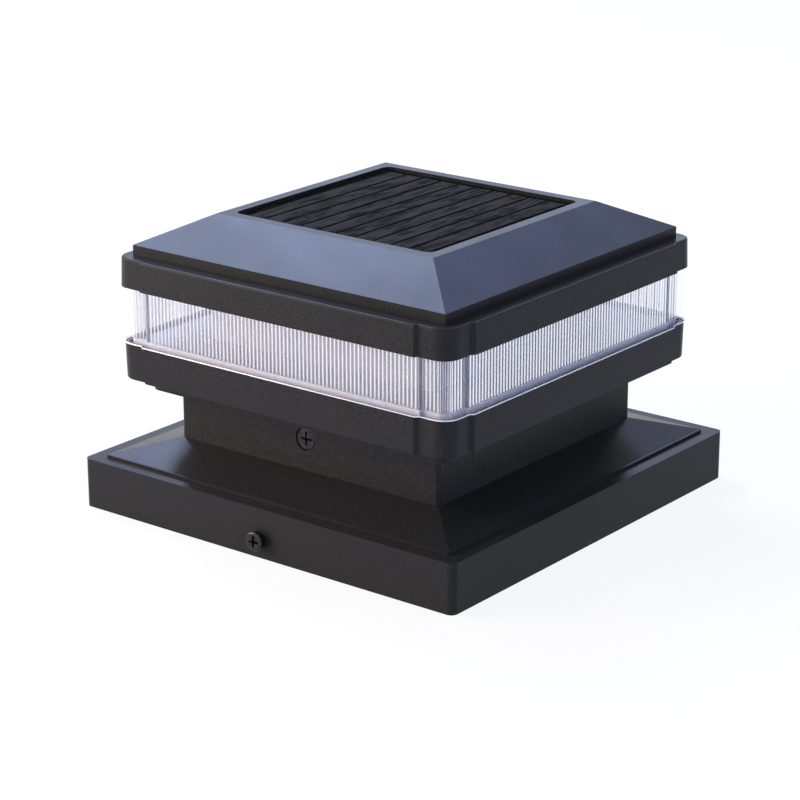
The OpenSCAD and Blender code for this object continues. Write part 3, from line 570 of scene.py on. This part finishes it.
def etched_silicon(settings):
    # Silicon strips, etched: near black with thin darker gaps between the strips and faint streaks along them.
    # Short lighter smears across them, slightly slanted, are painted reflection: the wavy clear sheet's glints.
    made, tree, place = new_material("etched_silicon")
    streaks = noise(tree, stretched(tree, place, (1, 9, 1)), size_mm=1.1, detail=3.0, distortion=0.4)
    # Painted reflection: the lighter smears stand for the glints of the wavy clear sheet.
    slanted = add_node(tree, "ShaderNodeMapping", inputs={
        "Vector": place, "Rotation": (0, 0, math.radians(-9)), "Scale": (1, 1 / 5, 1)}).outputs[0]
    sheet_glint_smears = noise(tree, slanted, size_mm=2.2, detail=3.0, distortion=0.5)
    strips = add_node(tree, "ShaderNodeTexWave", {"bands_direction": "X"}, {
        "Vector": place, "Scale": 2 * math.pi / 20 / (CELL_PITCH * MM)}).outputs["Fac"]
    sheet_glint_share = spread(tree, sheet_glint_smears, 0.0, 1.0, start=0.3, end=0.6)
    tone = blend_colours(tree, sheet_glint_share, linear("#20201F"), linear(settings.cell))
    strip = spread(tree, strips, 0.0, 1.0, start=0.0, end=0.14)
    tone = blend_colours(tree, strip, linear("#0F0F10"), tone)
    streak = spread(tree, streaks, 0.0, 0.3, start=0.4, end=0.8)
    principled(
        tree,
        Base_Color=blend_colours(tree, streak, tone, linear("#161617")),
        IOR=1.5,
        Specular_IOR_Level=0.0,
        Roughness=spread(tree, streaks, 0.35, 0.5),
        Normal=relief(tree, streaks, 0.05))
    return made


def black_resist_board(settings):
    # Glass fibre board under dark resist: olive black with a weave that barely shows.
    made, tree, place = new_material("black_resist_board")
    weave = add_node(tree, "ShaderNodeTexChecker", inputs={
        "Vector": place, "Scale": 1 / (0.9 * MM)}).outputs["Fac"]
    clouds = noise(tree, place, size_mm=8, detail=3.0)
    tone = blend_colours(tree, spread(tree, clouds, 0.0, 1.0), linear("#090806"), linear(settings.border))
    woven = spread(tree, weave, 0.0, 0.12, start=0.0, end=1.0)
    principled(
        tree,
        Base_Color=blend_colours(tree, woven, tone, linear("#2A2C1C")),
        Specular_IOR_Level=0.0,
        Roughness=spread(tree, clouds, 0.3, 0.45),
        Normal=relief(tree, weave, 0.01))
    return made


def textured_clear_sheet():
    # Clear sheet with a texture against glare: hardly any of it shows, so the panel stays dark under a bright sky.
    made, tree, place = new_material("textured_clear_sheet")
    prisms = noise(tree, place, size_mm=0.6, detail=1.0)
    principled(
        tree,
        Base_Color=blend_colours(tree, prisms, linear("#3A3B40"), linear("#4A4B50")),
        Specular_IOR_Level=0.0,
        Alpha=0.015,
        Roughness=spread(tree, prisms, 0.38, 0.46),
        Normal=relief(tree, prisms, 0.004))
    return made


def zinc_plated_steel():
    # Zinc-plated steel, drawn: bright grey with fine streaks.
    return patterned("zinc_plated_steel", ("#B4B7BC", "#C8CACD"), patch_mm=3, grain_mm=0.25, grain_depth_mm=0.004,
                     rough=(0.25, 0.4), sockets={"Metallic": 1.0}, stretch=(1, 1, 6))


def black_oxide_steel():
    # Blackened steel: dark, with a soft shine on its rounded edges.
    return patterned("black_oxide_steel", ("#2A2A2D", "#3C3C40"), patch_mm=2, grain_mm=0.3, grain_depth_mm=0.008,
                     rough=(0.3, 0.42), sockets={"Metallic": 0.9})


def moulded_silicone():
    # Silicone rubber: milky, matt and slightly dusty.
    return patterned("moulded_silicone", ("#C4C6CE", "#CED0D8"), patch_mm=6, grain_mm=0.5, grain_depth_mm=0.02,
                     rough=(0.6, 0.75), sockets={"IOR": 1.43})


def foam_tape():
    # Closed-cell foam: black, matt and pitted.
    return patterned("foam_tape", ("#121212", "#1E1E1E"), patch_mm=3, grain_mm=0.5, grain_depth_mm=0.08,
                     rough=(0.8, 0.95))


def green_resist_board():
    # Glass fibre board under green resist: paler copper tracks show through it.
    made, tree, place = new_material("green_resist_board")
    tracks = add_node(tree, "ShaderNodeTexBrick", {"offset": 0.37}, {
        "Vector": place, "Scale": 1 / (5 * MM), "Mortar Size": 0.03, "Mortar Smooth": 0.2}).outputs["Fac"]
    clouds = noise(tree, place, size_mm=12, detail=2.0)
    tone = blend_colours(tree, spread(tree, clouds, 0.0, 1.0), linear("#1A5A36"), linear("#1F6A40"))
    principled(
        tree,
        Base_Color=blend_colours(tree, tracks, tone, linear("#3C9A5E")),
        Roughness=spread(tree, clouds, 0.25, 0.35),
        Normal=relief(tree, tracks, 0.03))
    return made


def white_resist_board():
    # Aluminium-backed strip under white resist, slightly glossy; its lavender grey, darker than the white resist,
    # is painted shade for the dim light behind the lens.
    return patterned("white_resist_board", ("#B0B0BE", "#B8B8C4"), patch_mm=10, grain_mm=0.6, grain_depth_mm=0.01,
                     rough=(0.3, 0.4))


def phosphor_gel():
    # Phosphor in clear gel: warm yellow, wet-looking.
    return patterned("phosphor_gel", ("#E6C45A", "#EFD27A"), patch_mm=1.2, grain_mm=0.3, grain_depth_mm=0.01,
                     rough=(0.12, 0.2), sockets={"IOR": 1.41})


def black_part_plastic():
    # Moulded plug and chip bodies: dead black with a fine matt skin.
    return patterned("black_part_plastic", ("#141416", "#1E1E21"), patch_mm=4, grain_mm=0.3, grain_depth_mm=0.01,
                     rough=(0.45, 0.6))


def white_part_plastic():
    # Nylon: milky white, slightly waxy.
    return patterned("white_part_plastic", ("#E4E3DC", "#EEEDE8"), patch_mm=4, grain_mm=0.4, grain_depth_mm=0.006,
                     rough=(0.35, 0.45))


def shrink_sleeve():
    # Shrunk sleeve on the cell: glossy blue with slight ripples where it drew tight.
    return patterned("shrink_sleeve", ("#2565A6", "#2F74B8"), patch_mm=9, grain_mm=2.5, grain_depth_mm=0.05,
                     rough=(0.18, 0.28), sockets={"IOR": 1.53})


def sheathed_wire(name, colour, lighter):
    # Soft sheath on a thin wire: satin, with slight drawing marks.
    return patterned(name, (colour, lighter), patch_mm=5, grain_mm=0.4, grain_depth_mm=0.01, rough=(0.35, 0.45),
                     sockets={"IOR": 1.52})


FINISHES = {}


def finish(kind, *args):
    """Each material is made once, the first time it is asked for."""
    key = (kind.__name__,) + tuple(a for a in args if isinstance(a, str))
    if key not in FINISHES:
        FINISHES[key] = kind(*args)
    return FINISHES[key]


def red_sheath():
    """Sheath of the wires on the plus side."""
    return finish(sheathed_wire, "red_sheath", "#A3211E", "#B52C26")


def black_sheath():
    """Sheath of the other wires."""
    return finish(sheathed_wire, "black_sheath", "#1B1B1D", "#26262A")


def dress(material, *names):
    """Give CAD nodes a material; their shapes stay as they are."""
    for name in names:
        slots = NODES[name].data.materials
        slots.clear()
        slots.append(material)


# Operators, one for each piece or group

class POSTLIGHT_OT_housings(bpy.types.Operator):
    """Black moulded housings: skirt, neck, lower housing, top cover, battery door and button"""
    bl_idname = "post_light.housings"
    bl_label = "Housings"

    def execute(self, context):
        black = finish(moulded_black_abs, context.scene.post_light_housing)
        dress(black, "post_skirt", "neck_sleeve", "lower_housing", "top_cover", "battery_door", "power_button")
        return {"FINISHED"}


class POSTLIGHT_OT_lens(bpy.types.Operator):
    """Clear ribbed ring between the two bands, with rounded ribs also round its corners"""
    bl_idname = "post_light.lens"
    bl_label = "Lens Ring"

    def execute(self, context):
        low, high = (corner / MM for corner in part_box("lens_ring"))
        self.ring(context.scene.post_light_lens, low, high)
        self.bead(low.z + LAP_HEIGHT)
        return {"FINISHED"}

    def ring(self, settings, low, high):
        """The ring itself: a smooth outside with two laps, and an inside with ribs above a plain rim."""
        bottom, top, clear = low.z + LAP_HEIGHT, high.z - LAP_HEIGHT, LENS_CLEARANCE
        lap = LAP_HALF - clear
        # Half width and level of each step of the outside, from the bottom up.
        steps = ((lap, low.z), (lap, bottom + clear), (71.45, bottom + clear), (71.7, bottom + 0.15),
                 (71.8, bottom + 0.45), (high.x, top - 0.4), (high.x - 0.1, top - clear), (lap, top - clear),
                 (lap, high.z))
        outside = [levelled(head_outline(half), z) for half, z in steps]
        depth, pitch = settings.rib_depth / MM, settings.rib_pitch / MM
        plain, ribbed = ribbed_outline(pitch, 0), ribbed_outline(pitch, depth)
        inside = [levelled(ribbed, high.z), levelled(ribbed, bottom + 2.0),
                  levelled(plain, bottom + 1.6), levelled(plain, low.z)]
        points, faces = joined(looped(outside, False), looped(inside, False))
        row, rim, end, inner = len(outside[0]), len(outside) * len(outside[0]), len(points), len(ribbed)
        faces += filled(points, [range(rim - row, rim), range(rim, rim + inner)])
        faces += filled(points, [range(row), range(end - inner, end)])
        ring = mesh_object("ribbed_lens", points, faces, finish(clear_polished_polycarbonate, settings), False)
        ring.data.materials.append(finish(ribbed_moulded_polycarbonate, settings))
        for polygon in ring.data.polygons:
            polygon.material_index = int(min(polygon.vertices) >= rim)
        marks = [OUTSIDE_MARK] * rim + rib_marks(ribbed, plain, depth) * 2 + [RIM_MARK] * 2 * inner
        ring.data.attributes.new("rib", "FLOAT", "POINT").data.foreach_set("value", marks)
        place_piece(ring, LAMP, ("lens_ring",))

    def bead(self, bottom):
        """A thin bead along the ring's lower edge, where it meets the lower band, painted white as a highlight for
        the light gathered in the clear plastic.
        """
        steps = ((71.84, 0.08), (72.0, 0.14), (72.04, 0.3), (71.96, 0.44), (71.78, 0.5), (71.7, 0.3))
        points, faces = looped([levelled(head_outline(half), bottom + rise) for half, rise in steps])
        made = mesh_object("lens_edge_highlight_bead", points, faces, finish(lens_edge_painted_highlight))
        place_piece(made, LAMP)


class POSTLIGHT_OT_reflector(bpy.types.Operator):
    """Pale reflector that shows through the lens"""
    bl_idname = "post_light.reflector"
    bl_label = "Reflector"

    def execute(self, context):
        dress(finish(satin_pale_abs), "reflector_core")
        return {"FINISHED"}


class POSTLIGHT_OT_solar_panel(bpy.types.Operator):
    """Solar panel: board, cell strips, foam tape and a slightly wavy clear sheet"""
    bl_idname = "post_light.solar_panel"
    bl_label = "Solar Panel"

    def execute(self, context):
        settings = context.scene.post_light_panel
        dress(finish(black_resist_board, settings), "panel_board")
        dress(finish(etched_silicon, settings), "solar_cells")
        dress(finish(foam_tape), "panel_tape")
        low, high = (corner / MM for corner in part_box("panel_film"))
        lower = low.z + 0.03  # just clear of the cells
        row, last = SHEET_STEPS + 1, SHEET_STEPS
        places = [self.rounded(high.x, i, j) for j in range(row) for i in range(row)]
        points = [(x, y, lower) for x, y in places]
        points += [(x, y, high.z - settings.wave * sheet_wave(x, y)) for x, y in places]
        faces = []
        for j in range(last):
            for i in range(last):
                a = j * row + i
                faces.append([a, a + row, a + row + 1, a + 1])
                faces.append([row * row + k for k in (a, a + 1, a + row + 1, a + row)])
        rim = (list(range(row)) + [j * row + last for j in range(1, row)]
               + [last * row + i for i in range(last - 1, -1, -1)] + [j * row for j in range(last - 1, 0, -1)])
        for k, a in enumerate(rim):
            b = rim[(k + 1) % len(rim)]
            faces.append([a, b, b + row * row, a + row * row])
        sheet = mesh_object("panel_sheet", points, faces, finish(textured_clear_sheet))
        place_piece(sheet, LAMP, ("panel_film",))
        return {"FINISHED"}

    def rounded(self, half, i, j):
        """A point of the sheet's square grid, drawn in where the corner is round."""
        x, y = half * (2 * i / SHEET_STEPS - 1), half * (2 * j / SHEET_STEPS - 1)
        cx, cy = math.copysign(half - SHEET_CORNER, x), math.copysign(half - SHEET_CORNER, y)
        if abs(x) > abs(cx) and abs(y) > abs(cy):
            away = max(abs(x - cx), abs(y - cy)) / math.hypot(x - cx, y - cy)
            x, y = cx + (x - cx) * away, cy + (y - cy) * away
        return x, y


class POSTLIGHT_OT_lamps(bpy.types.Operator):
    """Strip boards with their lights and the drops of gel on them"""
    bl_idname = "post_light.lamps"
    bl_label = "Lights"

    def execute(self, context):
        dress(finish(white_resist_board), "led_boards")
        dress(finish(white_part_plastic), "led_chips")
        low, high = (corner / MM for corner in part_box("led_chips"))
        level = (high.z + low.z) / 2
        drop = [(0, 1.1), (0.1, 1.1), (0.22, 0.9), (0.3, 0.5), (0.32, 0.05)]
        parts = []
        for side in range(4):
            for i in range(LIGHTS_A_SIDE):
                along = (i - LIGHTS_A_SIDE // 2) * LIGHT_PITCH
                centre = quarter_turned((high.x - 0.1, along, level), side)
                parts.append(lathe(drop, centre, quarter_turned((1, 0, 0), side), 24))
        points, faces = joined(*parts)
        place_piece(mesh_object("led_gel", points, faces, finish(phosphor_gel)), LAMP)
        return {"FINISHED"}


class POSTLIGHT_OT_control_board(bpy.types.Operator):
    """Control board, plugs, switch and the small parts soldered on it"""
    bl_idname = "post_light.control_board"
    bl_label = "Control Board"

    def execute(self, context):
        dress(finish(green_resist_board), "control_board")
        dress(finish(black_part_plastic), "board_parts", "push_switch")
        dress(finish(white_part_plastic), "switch_stem")
        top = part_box("control_board")[1].z / MM
        places = [(-28, 12), (-28, 15), (-28, 18), (28, 18), (28, 21), (28, 24), (-14, 30), (-11, 30), (9, 33),
                  (12, 33)]
        parts = [soft_box((x, y, top + 0.3), (2.0, 1.25, 0.6), 0.12) for x, y in places]
        chips = mesh_object("board_chips", *joined(*parts), finish(white_part_plastic), False)
        place_piece(chips, LAMP)
        legs = [soft_box((4 + (k - 1.5) * 1.27, 20 + s * 2.7, top + 0.25), (0.45, 1.3, 0.5), 0.08)
                for k in range(4) for s in (-1, 1)]
        legs += [soft_box((x + s * 1.1, y, top + 0.25), (0.4, 1.3, 0.5), 0.1) for x, y in places for s in (-1, 1)]
        solder = mesh_object("board_solder", *joined(*legs), finish(zinc_plated_steel), False)
        place_piece(solder, LAMP)
        return {"FINISHED"}


class POSTLIGHT_OT_battery(bpy.types.Operator):
    """Rechargeable cell in its sleeve, the contact spring and the contact tab"""
    bl_idname = "post_light.battery"
    bl_label = "Battery"

    def execute(self, context):
        low, high = (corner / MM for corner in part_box("battery_cell"))
        middle = ((low.y + high.y) / 2, (low.z + high.z) / 2)
        radius, length = (high.z - low.z) / 2, high.x - low.x
        sleeve = lathe([(0.25, radius - 1.6), (0.1, radius - 1.3), (0.0, radius - 0.8), (0.25, radius - 0.25),
                        (0.8, radius), (length - 1.9, radius), (length - 1.25, radius - 0.25),
                        (length - 1.0, radius - 0.8), (length - 1.1, radius - 1.5), (length - 1.3, radius - 1.7)],
                       (low.x, *middle), (1, 0, 0), 72)
        wrapped = mesh_object("battery_sleeve", *sleeve, finish(shrink_sleeve))
        place_piece(wrapped, LAMP, ("battery_cell",))
        nub = lathe([(length - 1.35, 7.2), (length - 1.15, 7.1), (length - 1.1, 3.6), (length - 0.9, 3.1),
                     (length - 0.1, 2.9), (length, 2.6), (length, 0.05)], (low.x, *middle), (1, 0, 0), 48)
        place_piece(mesh_object("battery_nub", *nub, finish(zinc_plated_steel)), LAMP)
        dress(finish(zinc_plated_steel), "contact_tab")
        plate_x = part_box("contact_spring")[0].x / MM + 0.25
        lug_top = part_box("contact_spring")[1].z / MM
        plate = soft_box((plate_x, middle[0], middle[1]), (0.5, 14, 15), 0.12)
        lug = soft_box((plate_x, middle[0], (middle[1] + lug_top) / 2), (0.5, 3, lug_top - middle[1]), 0.1)
        coil = tube(helix((plate_x + 0.25, *middle), (1, 0, 0), radius=4, length=5.3, turns=5), 0.3, 12)
        contact = mesh_object("contact_coil", *joined(plate, lug, coil), finish(zinc_plated_steel))
        place_piece(contact, LAMP, ("contact_spring",))
        return {"FINISHED"}


class POSTLIGHT_OT_button(bpy.types.Operator):
    """Return spring and sealing ring of the power button"""
    bl_idname = "post_light.button"
    bl_label = "Button"

    def execute(self, context):
        low, high = (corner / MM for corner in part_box("button_spring"))
        wire = 0.25
        start = (0, (low.y + high.y) / 2, low.z + wire)
        path = helix(start, (0, 0, 1), radius=3.3, length=high.z - low.z - 2 * wire, turns=3)
        spring = mesh_object("button_coil", *tube(path, wire, 12), finish(zinc_plated_steel))
        place_piece(spring, LAMP, ("button_spring",))
        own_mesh(spring)
        dress(finish(moulded_silicone), "button_seal")
        return {"FINISHED"}


class POSTLIGHT_OT_seals(bpy.types.Operator):
    """Silicone gaskets of the lens and the battery door"""
    bl_idname = "post_light.seals"
    bl_label = "Seals"

    def execute(self, context):
        dress(finish(moulded_silicone), "lower_gasket", "upper_gasket", "door_seal")
        return {"FINISHED"}


class POSTLIGHT_OT_leads(bpy.types.Operator):
    """Wires of the panel, the battery and the lights"""
    bl_idname = "post_light.leads"
    bl_label = "Leads"

    def execute(self, context):
        # Levels of the wires' ends: the plugs' tops, under the panel, the battery's lug, the light strips.
        plug_top, seat, lug, light = 67.6, 100.9, 70.5, 79.0
        up, half_up, back = Vector((0, 0, 12)), Vector((0, 0, 6)), Vector((0, -6, 0))
        for side, name, sheath, slot in ((-1, "red", red_sheath(), "wire_red"),
                                         (1, "black", black_sheath(), "wire_black")):
            gap = side * 1.2
            a, b = Vector((gap, 0, seat)), Vector((-22 + gap, 24, plug_top))
            c, d = Vector((-side * 36.05, -20, lug)), Vector((20 - gap, 12, plug_top))
            e, f = Vector((gap, 31, plug_top)), Vector((gap, 48, light))
            for node, path in (("panel_lead_", (a, a - up, b + up, b)),
                               ("battery_lead_", (c, c + half_up, d + up, d)),
                               ("led_lead_", (e, e + up, f + back, f))):
                wire = mesh_object(node + name + "_wire", *tube(cubic(path), 0.7, 20), sheath)
                place_piece(wire, LAMP, (node + name,))
        self.jumpers(light)
        return {"FINISHED"}

    def jumpers(self, light):
        """Two wires round each of three corners, from one strip's end to the next."""
        side, end, swing, apart = 48.55, 42.0, 9.667, 1.4
        parts = []
        for k in range(3):
            for z in (light - apart, light + apart):
                path = [(side, end, z), (side, end + swing, z), (end + swing, side, z), (end, side, z)]
                parts.append(tube(cubic([quarter_turned(p, k) for p in path]), 0.45, 16))
        wires = mesh_object("jumper_wires", *joined(*parts), black_sheath())
        place_piece(wires, LAMP, ("led_jumpers",))


class POSTLIGHT_OT_fasteners(bpy.types.Operator):
    """Screws, with the threads that the plain shanks stand for"""
    bl_idname = "post_light.fasteners"
    bl_label = "Screws"

    def execute(self, context):
        dress(finish(zinc_plated_steel), "tie_screws", "board_screws", "door_screws")
        heads = []
        for way in (-1, 1):
            for node, shape in (("post_screws", POST_SCREW), ("neck_screws", NECK_SCREW)):
                low, high = (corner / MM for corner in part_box(node))
                place = (0, way * (high.y - FACE_CLEARANCE), (low.z + high.z) / 2)
                heads.append(screw(place, (0, way, 0), **shape))
        screws = mesh_object("cross_screws", *joined(*heads), finish(black_oxide_steel), False)
        place_piece(screws, LAMP, ("post_screws", "neck_screws"))
        return {"FINISHED"}


class POSTLIGHT_OT_stage(bpy.types.Operator):
    """Floor, soft lamps, white surroundings and the camera at the photograph's angle"""
    bl_idname = "post_light.stage"
    bl_label = "Stage"

    def execute(self, context):
        scene, settings = context.scene, context.scene.post_light_stage
        self.floor(settings)
        self.world(scene)
        aim = Vector(settings.aim)
        for name, way, far, size, power, colour in SOFTBOXES:
            lamp = bpy.data.lights.new(name, "AREA")
            lamp.shape, lamp.size, lamp.size_y = "RECTANGLE", size[0], size[1]
            lamp.energy, lamp.color = power, linear(colour)[:3]
            made = bpy.data.objects.new(name, lamp)
            scene.collection.objects.link(made)
            direction = Vector(way).normalized()
            made.location = aim + direction * far
            made.rotation_euler = direction.to_track_quat("Z", "Y").to_euler()
        self.camera(scene, settings, aim)
        scene.view_settings.view_transform = "Standard"
        return {"FINISHED"}

    def floor(self, settings):
        """A wide pale sheet, seen mostly as plain white, with a share of its real shade for the shadow."""
        made, tree, place = new_material("pale_paper_floor")
        share = add_node(tree, "ShaderNodeMath", {"operation": "MULTIPLY"}, {0: seen(tree), 1: FLOOR_WHITE})
        fibres = noise(tree, place, size_mm=3.0)
        paper = add_node(tree, "ShaderNodeBsdfDiffuse", inputs={
            "Color": blend_colours(tree, fibres, linear(settings.floor), linear("#FAFAFB"))})
        white = add_node(tree, "ShaderNodeEmission", inputs={"Color": (1, 1, 1, 1), "Strength": 1.0})
        surface(tree, add_node(tree, "ShaderNodeMixShader", inputs={
            0: share.outputs[0], 1: paper.outputs[0], 2: white.outputs[0]}))
        corners = [quarter_turned((-FLOOR_HALF, -FLOOR_HALF, 0), k) for k in range(4)]
        sheet = mesh_object("floor", corners, [[0, 1, 2, 3]], made, False)

    def world(self, scene):
        """White where it is seen, directly or in gloss and glass; a plain pale blue level as light."""
        world = bpy.data.worlds.new("studio")
        world.use_nodes = True
        scene.world = world
        tree = world.node_tree
        tree.nodes.clear()
        light = add_node(tree, "ShaderNodeBackground", inputs={"Color": linear("#DCE6FF"), "Strength": 0.6})
        white = add_node(tree, "ShaderNodeBackground", inputs={"Color": (1, 1, 1, 1), "Strength": 1.0})
        mixed = add_node(tree, "ShaderNodeMixShader", inputs={
            0: seen(tree), 1: light.outputs[0], 2: white.outputs[0]})
        add_node(tree, "ShaderNodeOutputWorld", inputs={"Surface": mixed.outputs[0]})

    def camera(self, scene, settings, aim):
        """A camera that looks at the aim from its two angles and its distance, with a slight roll."""
        az, el, roll = settings.azimuth, settings.elevation, settings.roll
        back = Vector((math.sin(az) * math.cos(el), -math.cos(az) * math.cos(el), math.sin(el)))
        right = Vector((0, 0, 1)).cross(back).normalized()
        up = back.cross(right)
        turned_right = right * math.cos(roll) + up * math.sin(roll)
        turned_up = up * math.cos(roll) - right * math.sin(roll)
        data = bpy.data.cameras.new("photo_camera")
        data.sensor_width, data.lens = 36, settings.lens
        made = bpy.data.objects.new("photo_camera", data)
        scene.collection.objects.link(made)
        made.matrix_world = Matrix.LocRotScale(aim + back * settings.distance,
                                               Matrix((turned_right, turned_up, back)).transposed(), None)
        scene.camera = made


class POSTLIGHT_PT_sidebar(bpy.types.Panel):
    """Lists the pieces and their sizes in the sidebar"""
    bl_idname = "POSTLIGHT_PT_sidebar"
    bl_label = "Post Light"
    bl_space_type = "VIEW_3D"
    bl_region_type = "UI"
    bl_category = "Post Light"

    def draw(self, context):
        for operator in OPERATORS:
            self.layout.operator(operator.bl_idname)
        for group in GROUPS:
            holder = getattr(context.scene, group)
            for key in holder.bl_rna.properties.keys():
                if key not in ("name", "rna_type"):
                    self.layout.prop(holder, key)


GROUPS = {"post_light_housing": HousingFinish, "post_light_lens": LensFinish, "post_light_panel": PanelFinish,
          "post_light_stage": StageSetup}
OPERATORS = (POSTLIGHT_OT_stage, POSTLIGHT_OT_housings, POSTLIGHT_OT_lens, POSTLIGHT_OT_reflector,
             POSTLIGHT_OT_solar_panel, POSTLIGHT_OT_lamps, POSTLIGHT_OT_control_board, POSTLIGHT_OT_battery,
             POSTLIGHT_OT_button, POSTLIGHT_OT_seals, POSTLIGHT_OT_leads, POSTLIGHT_OT_fasteners)


def register():
    for cls in (*GROUPS.values(), *OPERATORS, POSTLIGHT_PT_sidebar):
        bpy.utils.register_class(cls)
    for name, group in GROUPS.items():
        setattr(bpy.types.Scene, name, bpy.props.PointerProperty(type=group))


def unregister():
    for name in GROUPS:
        delattr(bpy.types.Scene, name)
    for cls in (POSTLIGHT_PT_sidebar, *reversed(OPERATORS), *GROUPS.values()):
        bpy.utils.unregister_class(cls)


def main():
    register()
    for operator in OPERATORS:
        group, name = operator.bl_idname.split(".")
        getattr(getattr(bpy.ops, group), name)()


if __name__ == "__main__":
    main()
